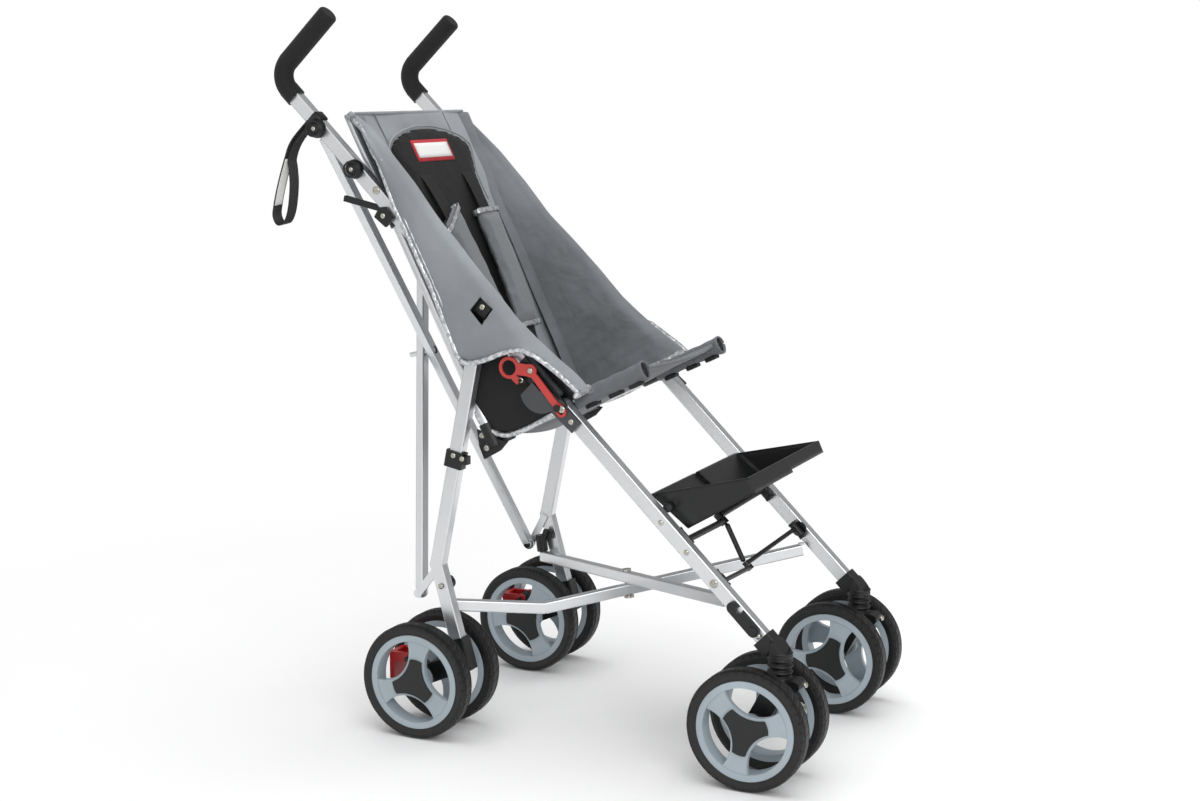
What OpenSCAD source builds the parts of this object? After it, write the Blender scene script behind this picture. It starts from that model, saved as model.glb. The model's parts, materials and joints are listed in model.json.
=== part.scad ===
// Umbrella-fold special needs buggy. +Z is up, the front faces -Y, the occupant's right is -X.
// The origin lies on the floor under the middle of the buggy.

/* [Frame] */
// Distance between the centre planes of the two side frames
frame_w = 380; // [370:1:390]
// Slope of the line of handle tube and front leg, in degrees
frame_pitch = 44.6; // [44.2:0.1:45]
// Height of the front leg's lower end above the floor
leg_foot_z = 200.8; // [198:0.2:204]
// Length of the handle tube from the knee to the grip
handle_len = 638; // [625:1:650]
// Length of the front leg from the knee to its lower end
front_leg_len = 466; // [462:1:470]
// Width of a leg tube across the side plane
tube_w = 18; // [16:0.5:19]
// Depth of a leg tube in the side plane
tube_d = 22; // [20:0.5:24]
// Wall of the leg tubes
tube_wall = 1.5; // [1:0.1:2.5]
// Corner radius of the leg tubes
tube_corner = 2.5; // [2:0.1:3]
// Diameter of the round tubes of the back
back_tube_d = 16; // [14:0.5:16.5]
// Length of the back tubes
back_len = 543; // [520:1:560]
// Slope of the back, in degrees
back_slope = 63.3; // [62.5:0.1:64]
// Diameter of the round seat rails
rail_d = 18; // [16:0.5:18.5]
// Length of the seat rails
rail_len = 268; // [255:1:280]
// Rise of the seat rails towards the front, in degrees
rail_rise = 25.9; // [25:0.1:26.8]

/* [Handles] */
// Diameter of the foam grips
grip_d = 31; // [28:0.5:34]
// Length of the straight hand part of a grip
grip_len = 104; // [90:1:120]
// Radius of the grip's bend on its middle line
grip_bend_r = 30; // [24:1:36]
// Turn of the grip's bend, in degrees
grip_turn = 91.7; // [80:0.5:100]

/* [Wheels] */
// Outer diameter of the tyres
tyre_d = 180; // [176:1:182]
// Diameter of the rim seat under the tyre
rim_d = 148; // [142:1:152]
// Width of one wheel
wheel_w = 30; // [26:0.5:32]
// Distance between the centre planes of a wheel pair
pair_w = 90; // [88:1:94]
// Diameter of the wheel axles
axle_d = 8; // [6:0.5:10]
// Trail of the front axle behind its swivel
trail = 32; // [28:1:36]

/* [Cross braces] */
// Height of the cross tubes' section
cross_h = 18; // [17:0.5:18.5]
// Thickness of the cross tubes' section
cross_t = 14; // [12:0.5:15]
// Distance of the cross joints from the middle plane
joint_x = 170; // [168:0.5:171]

/* [Footrest] */
// Clearance between the footrest tray and a front leg
tray_leg_gap = 16; // [14:0.5:20]
// Wall of the footrest tray
tray_wall = 4; // [3:0.5:5]
// Overlap of the two tray halves at the middle
tray_lap = 4; // [3:0.5:6]

/* [Cloth] */
// Thickness of the seat cloth
cloth_t = 4; // [3:0.5:5]
// Sag of the seat between its rails
seat_sag = 26; // [20:1:32]
// Hollow of the back between its tubes
back_sag = 22; // [16:1:28]

/* [Hidden] */
$fn = 48;

// Shared clearances: a running fit, a gap between neighbours and one overrun for cuts
fit = 0.05;
gap = 0.4;
over = 2;

// Places on the side plane, as distances behind the middle and above the floor
knee_y = -46.3;
knee_z = leg_foot_z + front_leg_len * sin(frame_pitch);
rear_axle_y = 183.7;
rear_bend_y = 168.7;
rear_bend_z = 266;
rear_foot_y = 123.7;
rear_foot_z = 105;
seat_corner_behind = 130;
seat_corner_drop = 63;

// Distances along the handle line from the knee
rear_pivot_at = 189;
cross_top_in = 62;
cross_top_at = handle_len - cross_top_in;
upper_clamp_at = 372;
lever_stud_at = 69;
knee_gap = 15;
rear_pivot_drop = 28;
front_joint_up = 123;
front_joint_at = front_leg_len - front_joint_up;

half = frame_w / 2;
tyre_r = tyre_d / 2;
rim_r = rim_d / 2;
axle_r = axle_d / 2;
half_w = tube_w / 2;
half_d = tube_d / 2;
outer_x = -half - half_w;
inner_x = -half + half_w;

function unit2(v) = v / norm(v);
function along(a) = [knee_y + a * cos(frame_pitch), knee_z + a * sin(frame_pitch)];
function beside(a, v) = along(a) + v * [sin(frame_pitch), -cos(frame_pitch)];
function angle_of(v) = atan2(v[1], v[0]);
function mix(a, b, t) = a + (b - a) * t;

rear_bend = [rear_bend_y, rear_bend_z];
rear_foot = [rear_foot_y, rear_foot_z];
leg_dir = unit2(rear_bend - along(rear_pivot_at));
low_dir = unit2(rear_foot - rear_bend);
rear_pivot = along(rear_pivot_at) + rear_pivot_drop * leg_dir;
joint_below_bend = 34;
rear_joint = rear_bend + joint_below_bend * low_dir;
front_joint = along(-front_joint_at);
cross_top = along(cross_top_at);
leg_end = along(-front_leg_len);
swivel_ahead = 12;
swivel_y = leg_end[0] - swivel_ahead;
front_axle_y = swivel_y + trail;
seat_corner = [knee_y + seat_corner_behind, knee_z - seat_corner_drop];
back_dir = [cos(back_slope), sin(back_slope)];
rail_dir = [-cos(rail_rise), sin(rail_rise)];
back_clear = 4.6;
back_x = -half + half_w + gap + back_tube_d / 2 + back_clear;
rail_inset = 38;
rail_x = -half + rail_inset;

pin_r = 3.5;
lug_pin_r = 2.5;

module on_side(right) {
    if (right) children();
    else mirror([1, 0, 0]) children();
}

// Local Z runs along the angle in the side plane, local Y points below a rising line
module in_plane(x, p, ang) {
    translate([x, p[0], p[1]]) rotate([ang - 90, 0, 0]) children();
}

module across(x0, x1, p, r) {
    translate([min(x0, x1), p[0], p[1]]) rotate([0, 90, 0]) cylinder(h = abs(x1 - x0), r = r);
}

module section(w, d, r) {
    square([w - 2 * r, d], center = true);
    square([w, d - 2 * r], center = true);
    for (i = [-1, 1], j = [-1, 1])
        translate([i * (w / 2 - r), j * (d / 2 - r)]) circle(r);
}

module tube_ring(w, d, r, wall) {
    difference() {
        section(w, d, r);
        section(w - 2 * wall, d - 2 * wall, r - wall * ring_inner_share);
    }
}
ring_inner_share = 0.8;

module straight_tube(len) {
    linear_extrude(len) tube_ring(tube_w, tube_d, tube_corner, tube_wall);
}

module round_tube(d, len) {
    difference() {
        cylinder(h = len, d = d);
        translate([0, 0, -over]) cylinder(h = len + 2 * over, d = d - 2 * tube_wall);
    }
}

// A plate of the side plane between two distances from the middle, outlined by its children
module plate(x0, x1) {
    translate([min(x0, x1), 0, 0]) rotate([90, 0, 90]) linear_extrude(abs(x1 - x0)) children();
}

module disc2(p, r) {
    translate(p) circle(r);
}

module strip2(p, q, w) {
    d = unit2(q - p);
    n = [-d[1], d[0]] * w / 2;
    polygon([p + n, q + n, q - n, p - n]);
}

// Handle tubes and grips

grip_seat = 16;
grip_low = 18;

module handle_tube(right) {
    on_side(right) color("silver")
        difference() {
            in_plane(-half, along(knee_gap), frame_pitch)
                straight_tube(handle_len - knee_gap + grip_seat);
            across(-half - tube_w, -half + tube_w, cross_top, pin_r + fit);
        }
}

module handle_grip(right) {
    on_side(right) color("#1c1c1e")
        difference() {
            union() {
                in_plane(-half, along(handle_len), frame_pitch) {
                    cylinder(h = grip_low + over, d = grip_d);
                    translate([0, -grip_bend_r, grip_low]) rotate([90, 0, 90])
                        rotate_extrude(angle = grip_turn) translate([grip_bend_r, 0]) circle(d = grip_d - 2 * gap);
                    translate([0, -grip_bend_r, grip_low]) rotate([grip_turn, 0, 0])
                        translate([0, grip_bend_r, -over]) rotate_extrude() hand_profile();
                }
            }
            in_plane(-half, along(handle_len - over), frame_pitch) linear_extrude(grip_seat + over + gap)
                section(tube_w + 2 * fit, tube_d + 2 * fit, tube_corner);
        }
}

grip_edge = 5;

// Half section of the hand part with its rounded end
module hand_profile() {
    square([grip_d / 2, grip_len + over - grip_edge]);
    square([grip_d / 2 - grip_edge, grip_len + over]);
    translate([grip_d / 2 - grip_edge, grip_len + over - grip_edge]) circle(grip_edge);
}

// Legs

leg_end_plug = 6;

module front_leg(right) {
    on_side(right) color("silver")
        difference() {
            union() {
                in_plane(-half, along(-front_leg_len), frame_pitch) straight_tube(front_leg_len);
                across(-half - half_w + fit, -half + half_w - fit, along(0), half_d - fit);
            }
            across(-half - tube_w, -half + tube_w, along(0), pin_r + fit);
        }
}

bend_block = 7;

module rear_leg(right) {
    on_side(right) color("silver")
        difference() {
            union() {
                in_plane(-half, rear_bend, angle_of(rear_pivot - rear_bend))
                    straight_tube(norm(rear_pivot - rear_bend));
                in_plane(-half, rear_foot, angle_of(rear_bend - rear_foot))
                    straight_tube(norm(rear_bend - rear_foot));
                across(-half - half_w + fit, -half + half_w - fit, rear_bend, half_d - fit);
                across(-half - half_w + fit, -half + half_w - fit, rear_pivot, half_d - fit);
            }
            across(-half - tube_w, -half + tube_w, rear_pivot, pin_r + fit);
            across(-half - tube_w, -half + tube_w, rear_joint, pin_r + fit);
        }
}

module back_tube(right) {
    on_side(right) color("silver")
        in_plane(back_x, seat_corner, back_slope) round_tube(back_tube_d, back_len);
}

module seat_rail(right) {
    on_side(right) color("#8f9296")
        difference() {
            in_plane(rail_x, seat_corner + rail_dir * rail_in, 180 - rail_rise)
                round_tube(rail_d, rail_len - rail_in);
            across(rail_x - rail_d, rail_x + rail_d, along(0), pin_r + fit);
        }
}

rail_in = 11;

// Black brackets of a side frame, with the pins that they carry

ear_t = 3;
ear_gap = 0.1;
sleeve_wall = 3.4;
sleeve_back = 12;
sleeve_front = 26;
clamp_len = 30;
boss_r = 11;
boss_t = 7;
strap_collar_in = 26;
strap_collar_at = handle_len - strap_collar_in;
collar_len = 16;
second_boss_in = 151;
second_boss_at = handle_len - second_boss_in;
lever_stud_v = 15;
stud_reach = 15.5;
knee_ear_r = 12;

module frame_brackets(right) {
    on_side(right) color("#26272a") {
        rear_pivot_bracket();
        knee_channel();
        corner_bracket();
        upper_clamp();
        cross_boss(cross_top_at);
        cross_boss(second_boss_at);
    }
}

// Two ears on the handle tube hold the top of the rear leg on a pin
module rear_pivot_bracket() {
    for (x = [-half - half_w - ear_gap - ear_t, -half + half_w + ear_gap])
        plate(x, x + ear_t)
            union() {
                strip2(rear_pivot, along(rear_pivot_at - rear_pivot_drop / 2), 2 * half_d);
                strip2(along(rear_pivot_at - rear_pivot_drop), along(rear_pivot_at + tube_d), tube_d);
                disc2(rear_pivot, half_d);
            }
    across(outer_x - ear_gap - ear_t, inner_x + ear_gap + ear_t, rear_pivot, pin_r);
}

// A channel on the lower end of the handle tube carries the knee pin and the lever's stud
module knee_channel() {
    for (x = [-half - half_w - ear_gap - ear_t, -half + half_w + ear_gap])
        plate(x, x + ear_t)
            union() {
                strip2(along(0), along(lever_stud_at + tube_d), 2 * knee_ear_r);
                disc2(along(0), knee_ear_r);
                disc2(beside(lever_stud_at, lever_stud_v), knee_ear_r / 2);
            }
    across(outer_x - stud_reach, rail_x + rail_d / 2 + gap, along(0), pin_r);
    across(outer_x - stud_reach, outer_x - stud_reach + lever_head_t, along(0), pin_r + lever_head_t);
    across(outer_x - ear_gap, outer_x - stud_reach, beside(lever_stud_at, lever_stud_v), lug_pin_r);
    rail_at_knee = seat_corner + rail_dir * knee_rail_at;
    difference() {
        union() {
            in_plane(rail_x, rail_at_knee - rail_dir * clamp_len / 2, 180 - rail_rise)
                cylinder(h = clamp_len, d = rail_d + 2 * sleeve_wall);
            plate(inner_x + ear_gap, rail_x)
                strip2(along(0), rail_at_knee, knee_ear_r);
        }
        in_plane(rail_x, rail_at_knee - rail_dir * clamp_len, 180 - rail_rise)
            cylinder(h = 2 * clamp_len, d = rail_d + 2 * fit);
    }
}
lever_head_t = 2;
knee_rail_at = 136;

// The corner where the back tube meets the seat rail
module corner_bracket() {
    difference() {
        union() {
            in_plane(back_x, seat_corner - back_dir * sleeve_back, back_slope)
                cylinder(h = sleeve_back + sleeve_front, d = back_tube_d + 2 * sleeve_wall);
            in_plane(rail_x, seat_corner - rail_dir * sleeve_back, 180 - rail_rise)
                cylinder(h = sleeve_back + sleeve_front, d = rail_d + 2 * sleeve_wall);
            across(back_x, rail_x, seat_corner, back_tube_d / 2);
        }
        in_plane(back_x, seat_corner, back_slope)
            cylinder(h = sleeve_front + over, d = back_tube_d + 2 * fit);
        in_plane(rail_x, seat_corner, 180 - rail_rise)
            cylinder(h = sleeve_front + over, d = rail_d + 2 * fit);
    }
}

// A clamp on the back tube hangs on the inner face of the handle tube
module upper_clamp() {
    c = seat_corner + back_dir * upper_clamp_at;
    difference() {
        union() {
            in_plane(back_x, c - back_dir * clamp_len / 2, back_slope)
                cylinder(h = clamp_len, d = back_tube_d + 2 * sleeve_wall);
            plate(inner_x, back_x) strip2(c, c + back_dir * (upper_reach), 2 * boss_r);
        }
        in_plane(back_x, c - back_dir * clamp_len, back_slope)
            cylinder(h = 2 * clamp_len + upper_reach, d = back_tube_d + 2 * fit);
    }
}
upper_reach = 48;

module cross_boss(a) {
    across(outer_x, outer_x - boss_t, along(a), boss_r);
    across(outer_x - boss_t, outer_x - boss_t - lever_head_t, along(a), boss_r / 2);
}

// Knee lock: half disc on the front leg and the red lever that slides along the handle line

disc_r = 33;
disc_at = 37;
disc_t = 3.4;
disc_x = outer_x - ear_gap - ear_t - gap;
foot_near = 17;
foot_far = 40;

module knee_plate(right) {
    on_side(right) color("#58595c")
        difference() {
            union() {
                plate(disc_x, disc_x - disc_t) {
                    intersection() {
                        disc2(beside(disc_at, half_d / 2), disc_r);
                        strip2(beside(disc_at - disc_r, half_d / 2 + disc_r / 2),
                            beside(disc_at + disc_r - knee_gap, half_d / 2 + disc_r / 2), disc_r);
                    }
                    strip2(beside(-foot_far, 0), beside(disc_at, half_d / 2), tube_d);
                    disc2(along(0), knee_ear_r);
                }
                plate(disc_x, outer_x) strip2(along(-foot_far), along(-foot_near), tube_d - 2 * tube_corner);
            }
            across(disc_x + over, disc_x - disc_t - over, along(0), pin_r + fit);
        }
}

lever_t = 3.6;
lever_x = disc_x - disc_t - gap;
lever_travel = 8;
ring_at = 95.6;
ring_v = 17;
ring_outer = 16.5;
ring_inner = 11.5;
lever_eye_r = 10;
lever_arm_w = 10;
lever_eye_v = -6;

module lever_plate(more) {
    plate(lever_x + more, lever_x - lever_t - more) children();
}

module lock_lever(right) {
    eye = beside(lever_stud_at, lever_eye_v);
    stud = beside(lever_stud_at, lever_stud_v);
    on_side(right) color("#d9534f")
        difference() {
            union() {
                lever_plate(0) disc2(beside(ring_at, ring_v), ring_outer);
                lever_plate(0) strip2(eye, beside(ring_at, ring_v), 2 * lever_eye_r - over);
                lever_plate(0) disc2(eye, lever_eye_r);
                lever_plate(0) strip2(eye, along(-lever_travel / 2), lever_arm_w);
                lever_plate(0) disc2(along(0), lever_eye_r - over);
                lever_plate(0) disc2(along(-lever_travel), lever_eye_r - over);
                lever_plate(0) strip2(stud + lever_brow, beside(ring_at, ring_v) + lever_brow, lever_eye_r);
            }
            lever_plate(over) disc2(beside(ring_at, ring_v), ring_inner);
            lever_plate(over) strip2(along(gap), along(-lever_travel - gap), 2 * pin_r + 2 * gap);
            lever_plate(over) disc2(along(gap), pin_r + gap);
            lever_plate(over) disc2(along(-lever_travel - gap), pin_r + gap);
            lever_plate(over) disc2(stud, lug_pin_r + gap);
            lever_plate(over) strip2(stud, beside(lever_stud_at - 2 * tube_d, lever_stud_v),
                2 * lug_pin_r + 2 * gap);
        }
}
lever_brow = lever_eye_r / 2 * [sin(frame_pitch), -cos(frame_pitch)];

// Rear hub, clip and brake

hub_r = 15;
hub_gap = 2;
hub_half = (pair_w - wheel_w) / 2 - hub_gap;
hub_arm_w = 24;
hub_sleeve_wall = 4;
hub_sleeve_len = 48;
brake_pivot_y = 30;
brake_pivot_z = 24;
brake_boss_r = 8;
brake_arm_w = 14;
brake_pedal_w = 40;
brake_reach = 30;
brake_drop = 22;
clip_at = 190;
clip_len = 26;
clip_wall = 4;
clip_arm = 24;
clip_lip = 4;
rear_axle = [rear_axle_y, tyre_r];
brake_pivot = rear_axle + [brake_pivot_y, brake_pivot_z];

module rear_hub(right) {
    on_side(right) color("#222326") {
        difference() {
            union() {
                across(-half - hub_half, -half + hub_half, rear_axle, hub_r);
                in_plane(-half, rear_foot - low_dir * hub_sleeve_len, angle_of(low_dir))
                    linear_extrude(hub_sleeve_len + hub_sleeve_wall)
                        section(tube_w + 2 * hub_sleeve_wall, tube_d + 2 * hub_sleeve_wall, tube_corner);
                plate(-half - hub_arm_w / 2, -half + hub_arm_w / 2) {
                    strip2(rear_foot - low_dir * tube_d / 2, rear_axle, 2 * hub_r);
                    strip2(rear_axle, brake_pivot, brake_boss_r);
                    disc2(brake_pivot, brake_boss_r);
                }
            }
            across(-half - pair_w, -half + pair_w, rear_axle, axle_r + fit);
            in_plane(-half, rear_foot - low_dir * (hub_sleeve_len + over), angle_of(low_dir))
                linear_extrude(hub_sleeve_len + over)
                    section(tube_w + 2 * fit, tube_d + 2 * fit, tube_corner);
        }
        across(-half - hub_half, -half + hub_half, brake_pivot, pin_r);
        leg_clip();
        cross_ball(right);
    }
}

// A clip round the rear leg that stops the seat corner
module leg_clip() {
    c = rear_pivot + leg_dir * clip_at;
    difference() {
        union() {
            in_plane(-half, c, angle_of(leg_dir)) linear_extrude(clip_len)
                section(tube_w + 2 * clip_wall - over, tube_d + 2 * clip_wall, tube_corner);
            plate(outer_x - clip_wall + over, -half)
                strip2(c + leg_dir * clip_len / 2, c + leg_dir * clip_len / 2 - [clip_arm, 0], clip_len / 2);
        }
        in_plane(-half, c - leg_dir * over, angle_of(leg_dir)) linear_extrude(clip_len + 2 * over)
            section(tube_w + 2 * fit, tube_d + 2 * fit, tube_corner);
        translate([inner_x - clip_lip, c[0] - clip_arm - clip_len, c[1] - 2 * clip_len])
            cube([2 * tube_w, 2 * clip_arm + 2 * clip_len, 4 * clip_len]);
    }
}

module brake_pedal(right) {
    on_side(right) color("#c8201e")
        difference() {
            union() {
                for (s = [-1, 1])
                    across(-half + s * (hub_arm_w / 2 + gap), -half + s * brake_pedal_w / 2,
                        brake_pivot, brake_boss_r);
                for (s = [-1, 1])
                    plate(-half + s * (hub_arm_w / 2 + gap), -half + s * brake_pedal_w / 2)
                        strip2(brake_pivot, brake_pivot + [brake_reach, 0], brake_arm_w);
                plate(-half - brake_pedal_w / 2, -half + brake_pedal_w / 2)
                    strip2(brake_pivot + [brake_reach, brake_arm_w / 2],
                        brake_pivot + [brake_reach, -brake_drop - brake_arm_w], brake_boss_r);
            }
            across(-half - pair_w, -half + pair_w, brake_pivot, pin_r + fit);
        }
}

// Wheels

tread_r_shares = [0, 0.55, 0.86, 1, 0.93, 0.93, 1, 1, 0.93, 0.93, 1, 0.86, 0.55, 0];
tread_x_shares = [-0.8, -1, -0.94, -0.62, -0.58, -0.46, -0.42, 0.42, 0.46, 0.58, 0.62, 0.94, 1, 0.8];
rim_web = 10;
hub_core_r = 19;
spoke_count = 3;
spoke_t = 9;
hollow_r = 50;
hollow_keep = 24;
hollow_at = hollow_keep + hollow_r;
cap_lip = 4;
cap_len = 36;
cap_t = 3;
rim_band_share = 0.86;

module at_axle(s, y) {
    translate([-half + s * pair_w / 2, y, tyre_r]) rotate([0, s * 90, 0]) children();
}

module tyre() {
    rotate_extrude($fn = 96)
        polygon([for (i = [0:len(tread_r_shares) - 1])
            [mix(rim_r, tyre_r, tread_r_shares[i]), tread_x_shares[i] * wheel_w / 2]]);
}

module rim() {
    difference() {
        union() {
            difference() {
                cylinder(h = rim_band_share * wheel_w, r = rim_r - fit, center = true, $fn = 96);
                cylinder(h = wheel_w + over, r = rim_r - rim_web, center = true, $fn = 96);
            }
            translate([0, 0, -wheel_w / 2]) cylinder(h = wheel_w, r = hub_core_r);
            translate([0, 0, wheel_w / 2 - spoke_t - cap_t]) linear_extrude(spoke_t)
                lobes(rim_r - rim_web / 2, hollow_r);
        }
        translate([0, 0, -wheel_w]) cylinder(h = 2 * wheel_w, r = axle_r + fit);
        cap_outline(gap);
    }
    color("#1d1e20") translate([0, 0, fit]) cap_outline(0);
}

// Three-lobed cap let into the outer side of a rim
module cap_outline(more) {
    translate([0, 0, wheel_w / 2 - cap_t]) linear_extrude(cap_t + more)
        lobes(cap_len + more, hollow_r + cap_lip - more);
}

// A disc with a round hollow between its spokes
module lobes(r, hollow) {
    difference() {
        circle(r, $fn = 96);
        for (i = [0:spoke_count - 1]) rotate(i * 360 / spoke_count) translate([hollow_at, 0])
            circle(hollow, $fn = 96);
    }
}

module tyres(right, y) {
    on_side(right) color("#1a1a1b") for (s = [-1, 1]) at_axle(s, y) tyre();
}

// How far each pair of wheels has rolled
front_turn_right = -13;
front_turn_left = 20;
rear_turn_right = 51;
rear_turn_left = 30;

module rims(right, y, turn) {
    on_side(right) color("#aab4bd") for (s = [-1, 1]) at_axle(s, y) rotate(turn) rim();
}

module axle(right, y) {
    axle_half = pair_w / 2 + wheel_w / 2 - cap_t - gap;
    on_side(right) color("#b8babd") across(-half - axle_half, -half + axle_half, [y, tyre_r], axle_r);
}

// Front casters

stem_r = 6;
socket_w = 26;
socket_d = 30;
socket_len = 20;
collar_r = 18;
collar_h = 18;
crown_r = 17;
crown_h = 18;
crown_over = 70;
crown_z = tyre_r + crown_over;
boot_top_r = 18.5;
boot_low_share = 0.8;
boot_ribs = 5;
boot_bore = 8;
fork_arm_w = 30;
nose_ahead = 26;
nose_r = 8;
collar_drop = -5;
collar_z = leg_end[1] - collar_drop;

module caster_socket(right) {
    on_side(right) color("#222326") {
        difference() {
            union() {
                in_plane(-half, along(-front_leg_len - over), frame_pitch)
                    linear_extrude(socket_len + over) section(socket_w, socket_d, tube_corner);
                translate([-half, swivel_y, collar_z - collar_h])
                    cylinder(h = collar_h + collar_cap, r = collar_r);
                plate(-half - socket_w / 2 + over, -half + socket_w / 2 - over)
                    strip2([swivel_y, collar_z], leg_end, socket_d - over);
            }
            in_plane(-half, leg_end, frame_pitch) linear_extrude(socket_len + over)
                section(tube_w + 2 * fit, tube_d + 2 * fit, tube_corner);
            translate([-half, swivel_y, collar_z - collar_h - over])
                cylinder(h = over + stem_in + gap, r = stem_r + fit);
            plate(-half - collar_r - over, -half + collar_r + over)
                strip2(beside(-front_leg_len - 2 * socket_d, gap - socket_d),
                    beside(-front_leg_len + socket_len + over, gap - socket_d), socket_d);
        }
        front_bracket();
        for (a = [front_joint_at, arm_at]) leg_lug(a);
    }
}
stem_in = 12;
collar_cap = 8;

bracket_r = 12;
bracket_t = 3.5;

module front_bracket() {
    across(inner_x, inner_x + bracket_t, front_joint, bracket_r);
}

// A pin along the leg, held by two lugs on its inner face
arm_over_joint = 81;
arm_at = front_joint_at - arm_over_joint;
lug_len = 22;
lug_t = 4;
lug_w = 10;
lug_reach = 11;
lug_x = inner_x + lug_reach;

module leg_lug(a) {
    in_plane(0, along(-a), frame_pitch) {
        for (s = [-1, 1])
            translate([inner_x, -lug_w / 2, s * (lug_len / 2 + lug_t / 2) - lug_t / 2])
                cube([lug_reach + lug_w / 2, lug_w, lug_t]);
        translate([lug_x, 0, -lug_len / 2 - lug_t]) cylinder(h = lug_len + 2 * lug_t, r = lug_pin_r);
    }
}

// Rubber bellows over the steel spindle that turns in the socket and slides in the fork
module spring_boot(right) {
    low = crown_z + gap;
    high = collar_z - collar_h - gap;
    step = (high - low) / boot_ribs;
    outline = [for (i = [0:2 * boot_ribs])
        [boot_top_r * (i % 2 == 0 ? boot_low_share : 1), low + i * step / 2]];
    on_side(right) {
        color("#161617") translate([-half, swivel_y, 0]) rotate_extrude()
            polygon(concat([[boot_bore, high], [boot_bore, low]], outline));
        color("#b8babd") translate([-half, swivel_y, crown_z - spindle_in])
            cylinder(h = collar_z - collar_h + stem_in - crown_z + spindle_in, r = stem_r);
    }
}
spindle_in = 6;

module caster_fork(right) {
    on_side(right) color("#202124")
        difference() {
            union() {
                translate([-half, swivel_y, crown_z - crown_h]) cylinder(h = crown_h, r = crown_r);
                across(-half - hub_half, -half + hub_half, [front_axle_y, tyre_r], hub_r);
                plate(-half - fork_arm_w / 2, -half + fork_arm_w / 2) {
                    strip2([swivel_y, crown_z - crown_h / 2 - over], [front_axle_y, tyre_r], 2 * hub_r);
                    strip2([swivel_y - nose_ahead, crown_z - crown_h / 2], [swivel_y, crown_z - crown_h / 2], 2 * nose_r);
                    disc2([swivel_y - nose_ahead, crown_z - crown_h / 2], nose_r);
                }
            }
            across(-half - pair_w, -half + pair_w, [front_axle_y, tyre_r], axle_r + fit);
            translate([-half, swivel_y, crown_z - crown_h]) cylinder(h = crown_h + over, r = stem_r + fit);
        }
}

// Hook on the near front leg that keeps the folded frame shut

hook_in = 35;
hook_at = front_leg_len - hook_in;
hook_len = 53;
hook_w = 18;
hook_t = 6;
hook_notch_r = 7;

module fold_hook() {
    color("#2b2c30")
        difference() {
            plate(outer_x - gap, outer_x - gap - hook_t) {
                disc2(along(-hook_at), hook_w / 2);
                strip2(along(-hook_at), along(-hook_at + hook_len - hook_w / 2), hook_w);
                disc2(along(-hook_at + hook_len - hook_w / 2), hook_w / 2);
            }
            plate(outer_x + over, outer_x - gap - hook_t - over) {
                disc2(beside(-hook_at + hook_len - hook_w, -hook_w / 4), hook_notch_r - over);
                strip2(beside(-hook_at + hook_len - hook_w, -hook_w / 4),
                    beside(-hook_at + hook_len - hook_w, -hook_w), hook_notch_r);
            }
            across(outer_x + over, outer_x - hook_t - over, along(-hook_at), pin_r + fit);
        }
    color("silver") {
        across(outer_x, outer_x - gap - hook_t, along(-hook_at), pin_r);
        across(outer_x - gap - hook_t, outer_x - gap - hook_t - lever_head_t, along(-hook_at), 2 * pin_r);
    }
}

// Lower cross between the legs

post_r = 5;
post_h = 22;
front_post_h = 2;
rear_end_drop = 37.3;
front_end_drop = 31.2;
rear_end_z = rear_joint[1] - rear_end_drop;
front_end_z = front_joint[1] - front_end_drop;
post_set = 8;
rear_end_y = rear_joint[0] + post_set;
front_end_y = front_joint[0] - post_set;
dip_share = 0.27;
dip = 30;
bolt_r = 4;
bolt_head_r = 8;
bolt_head_h = 3;
head_gap = 1.2;
a_rear = [-joint_x, rear_end_y, rear_end_z];
a_front = [joint_x, front_end_y, front_end_z];
a_bend = mix(a_rear, a_front, dip_share) - [0, 0, dip];
b_rear = [joint_x, rear_end_y, rear_end_z];
b_front = [-joint_x, front_end_y, front_end_z];
cross_up = [0, front_end_z - rear_end_z, rear_end_y - front_end_y];
cross_up_ang = atan2(front_end_z - rear_end_z, rear_end_y - front_end_y);
cross_mid = mix(b_rear, b_front, 1 / 2);
a_mid = mix(a_bend, a_front, (0 - a_bend[0]) / (a_front[0] - a_bend[0]));

module bar(p, q) {
    v = q - p;
    translate(p) rotate([0, 0, atan2(v[1], v[0])]) rotate([0, atan2(norm([v[0], v[1]]), v[2]), 0])
        linear_extrude(norm(v)) tube_ring(cross_h, cross_t, tube_corner, tube_wall);
}

module post(p, h) {
    translate(p) rotate([-cross_up_ang, 0, 0]) translate([0, 0, cross_h / 2 - tube_wall])
        cylinder(h = h + tube_wall, r = post_r);
}

module bolt_hole(p, len) {
    translate(p) rotate([-cross_up_ang, 0, 0]) cylinder(h = len, r = bolt_r + fit, center = true);
}

module lower_cross_tube(right) {
    color("silver")
        difference() {
            union() {
                if (right) {
                    bar(a_rear, a_bend);
                    bar(a_bend, a_front);
                    translate(a_bend) rotate([-cross_up_ang, 0, 0])
                        cylinder(h = cross_h - 2 * tube_wall, d = cross_t, center = true);
                    post(a_rear, post_h);
                    post(a_front, front_post_h);
                } else {
                    bar(b_rear, b_front);
                    post(b_rear, post_h);
                    post(b_front, front_post_h);
                }
            }
            bolt_hole(cross_mid, 4 * cross_h);
        }
}

module lower_cross_bolt() {
    color("#2a2b2e") translate(cross_mid) rotate([-cross_up_ang, 0, 0]) {
        translate([0, 0, -norm(cross_mid - a_mid) - cross_h / 2 - head_gap])
            cylinder(h = norm(cross_mid - a_mid) + cross_h + gap + head_gap, r = bolt_r);
        translate([0, 0, cross_h / 2 + gap]) cylinder(h = bolt_head_h, r = bolt_head_r);
        translate([0, 0, -norm(cross_mid - a_mid) - cross_h / 2 - head_gap - bolt_head_h])
            cylinder(h = bolt_head_h, r = bolt_head_r);
    }
}

// Joint block that ties the lower cross to the rear leg

rj_r = 9.5;
rj_h = 28;

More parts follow.
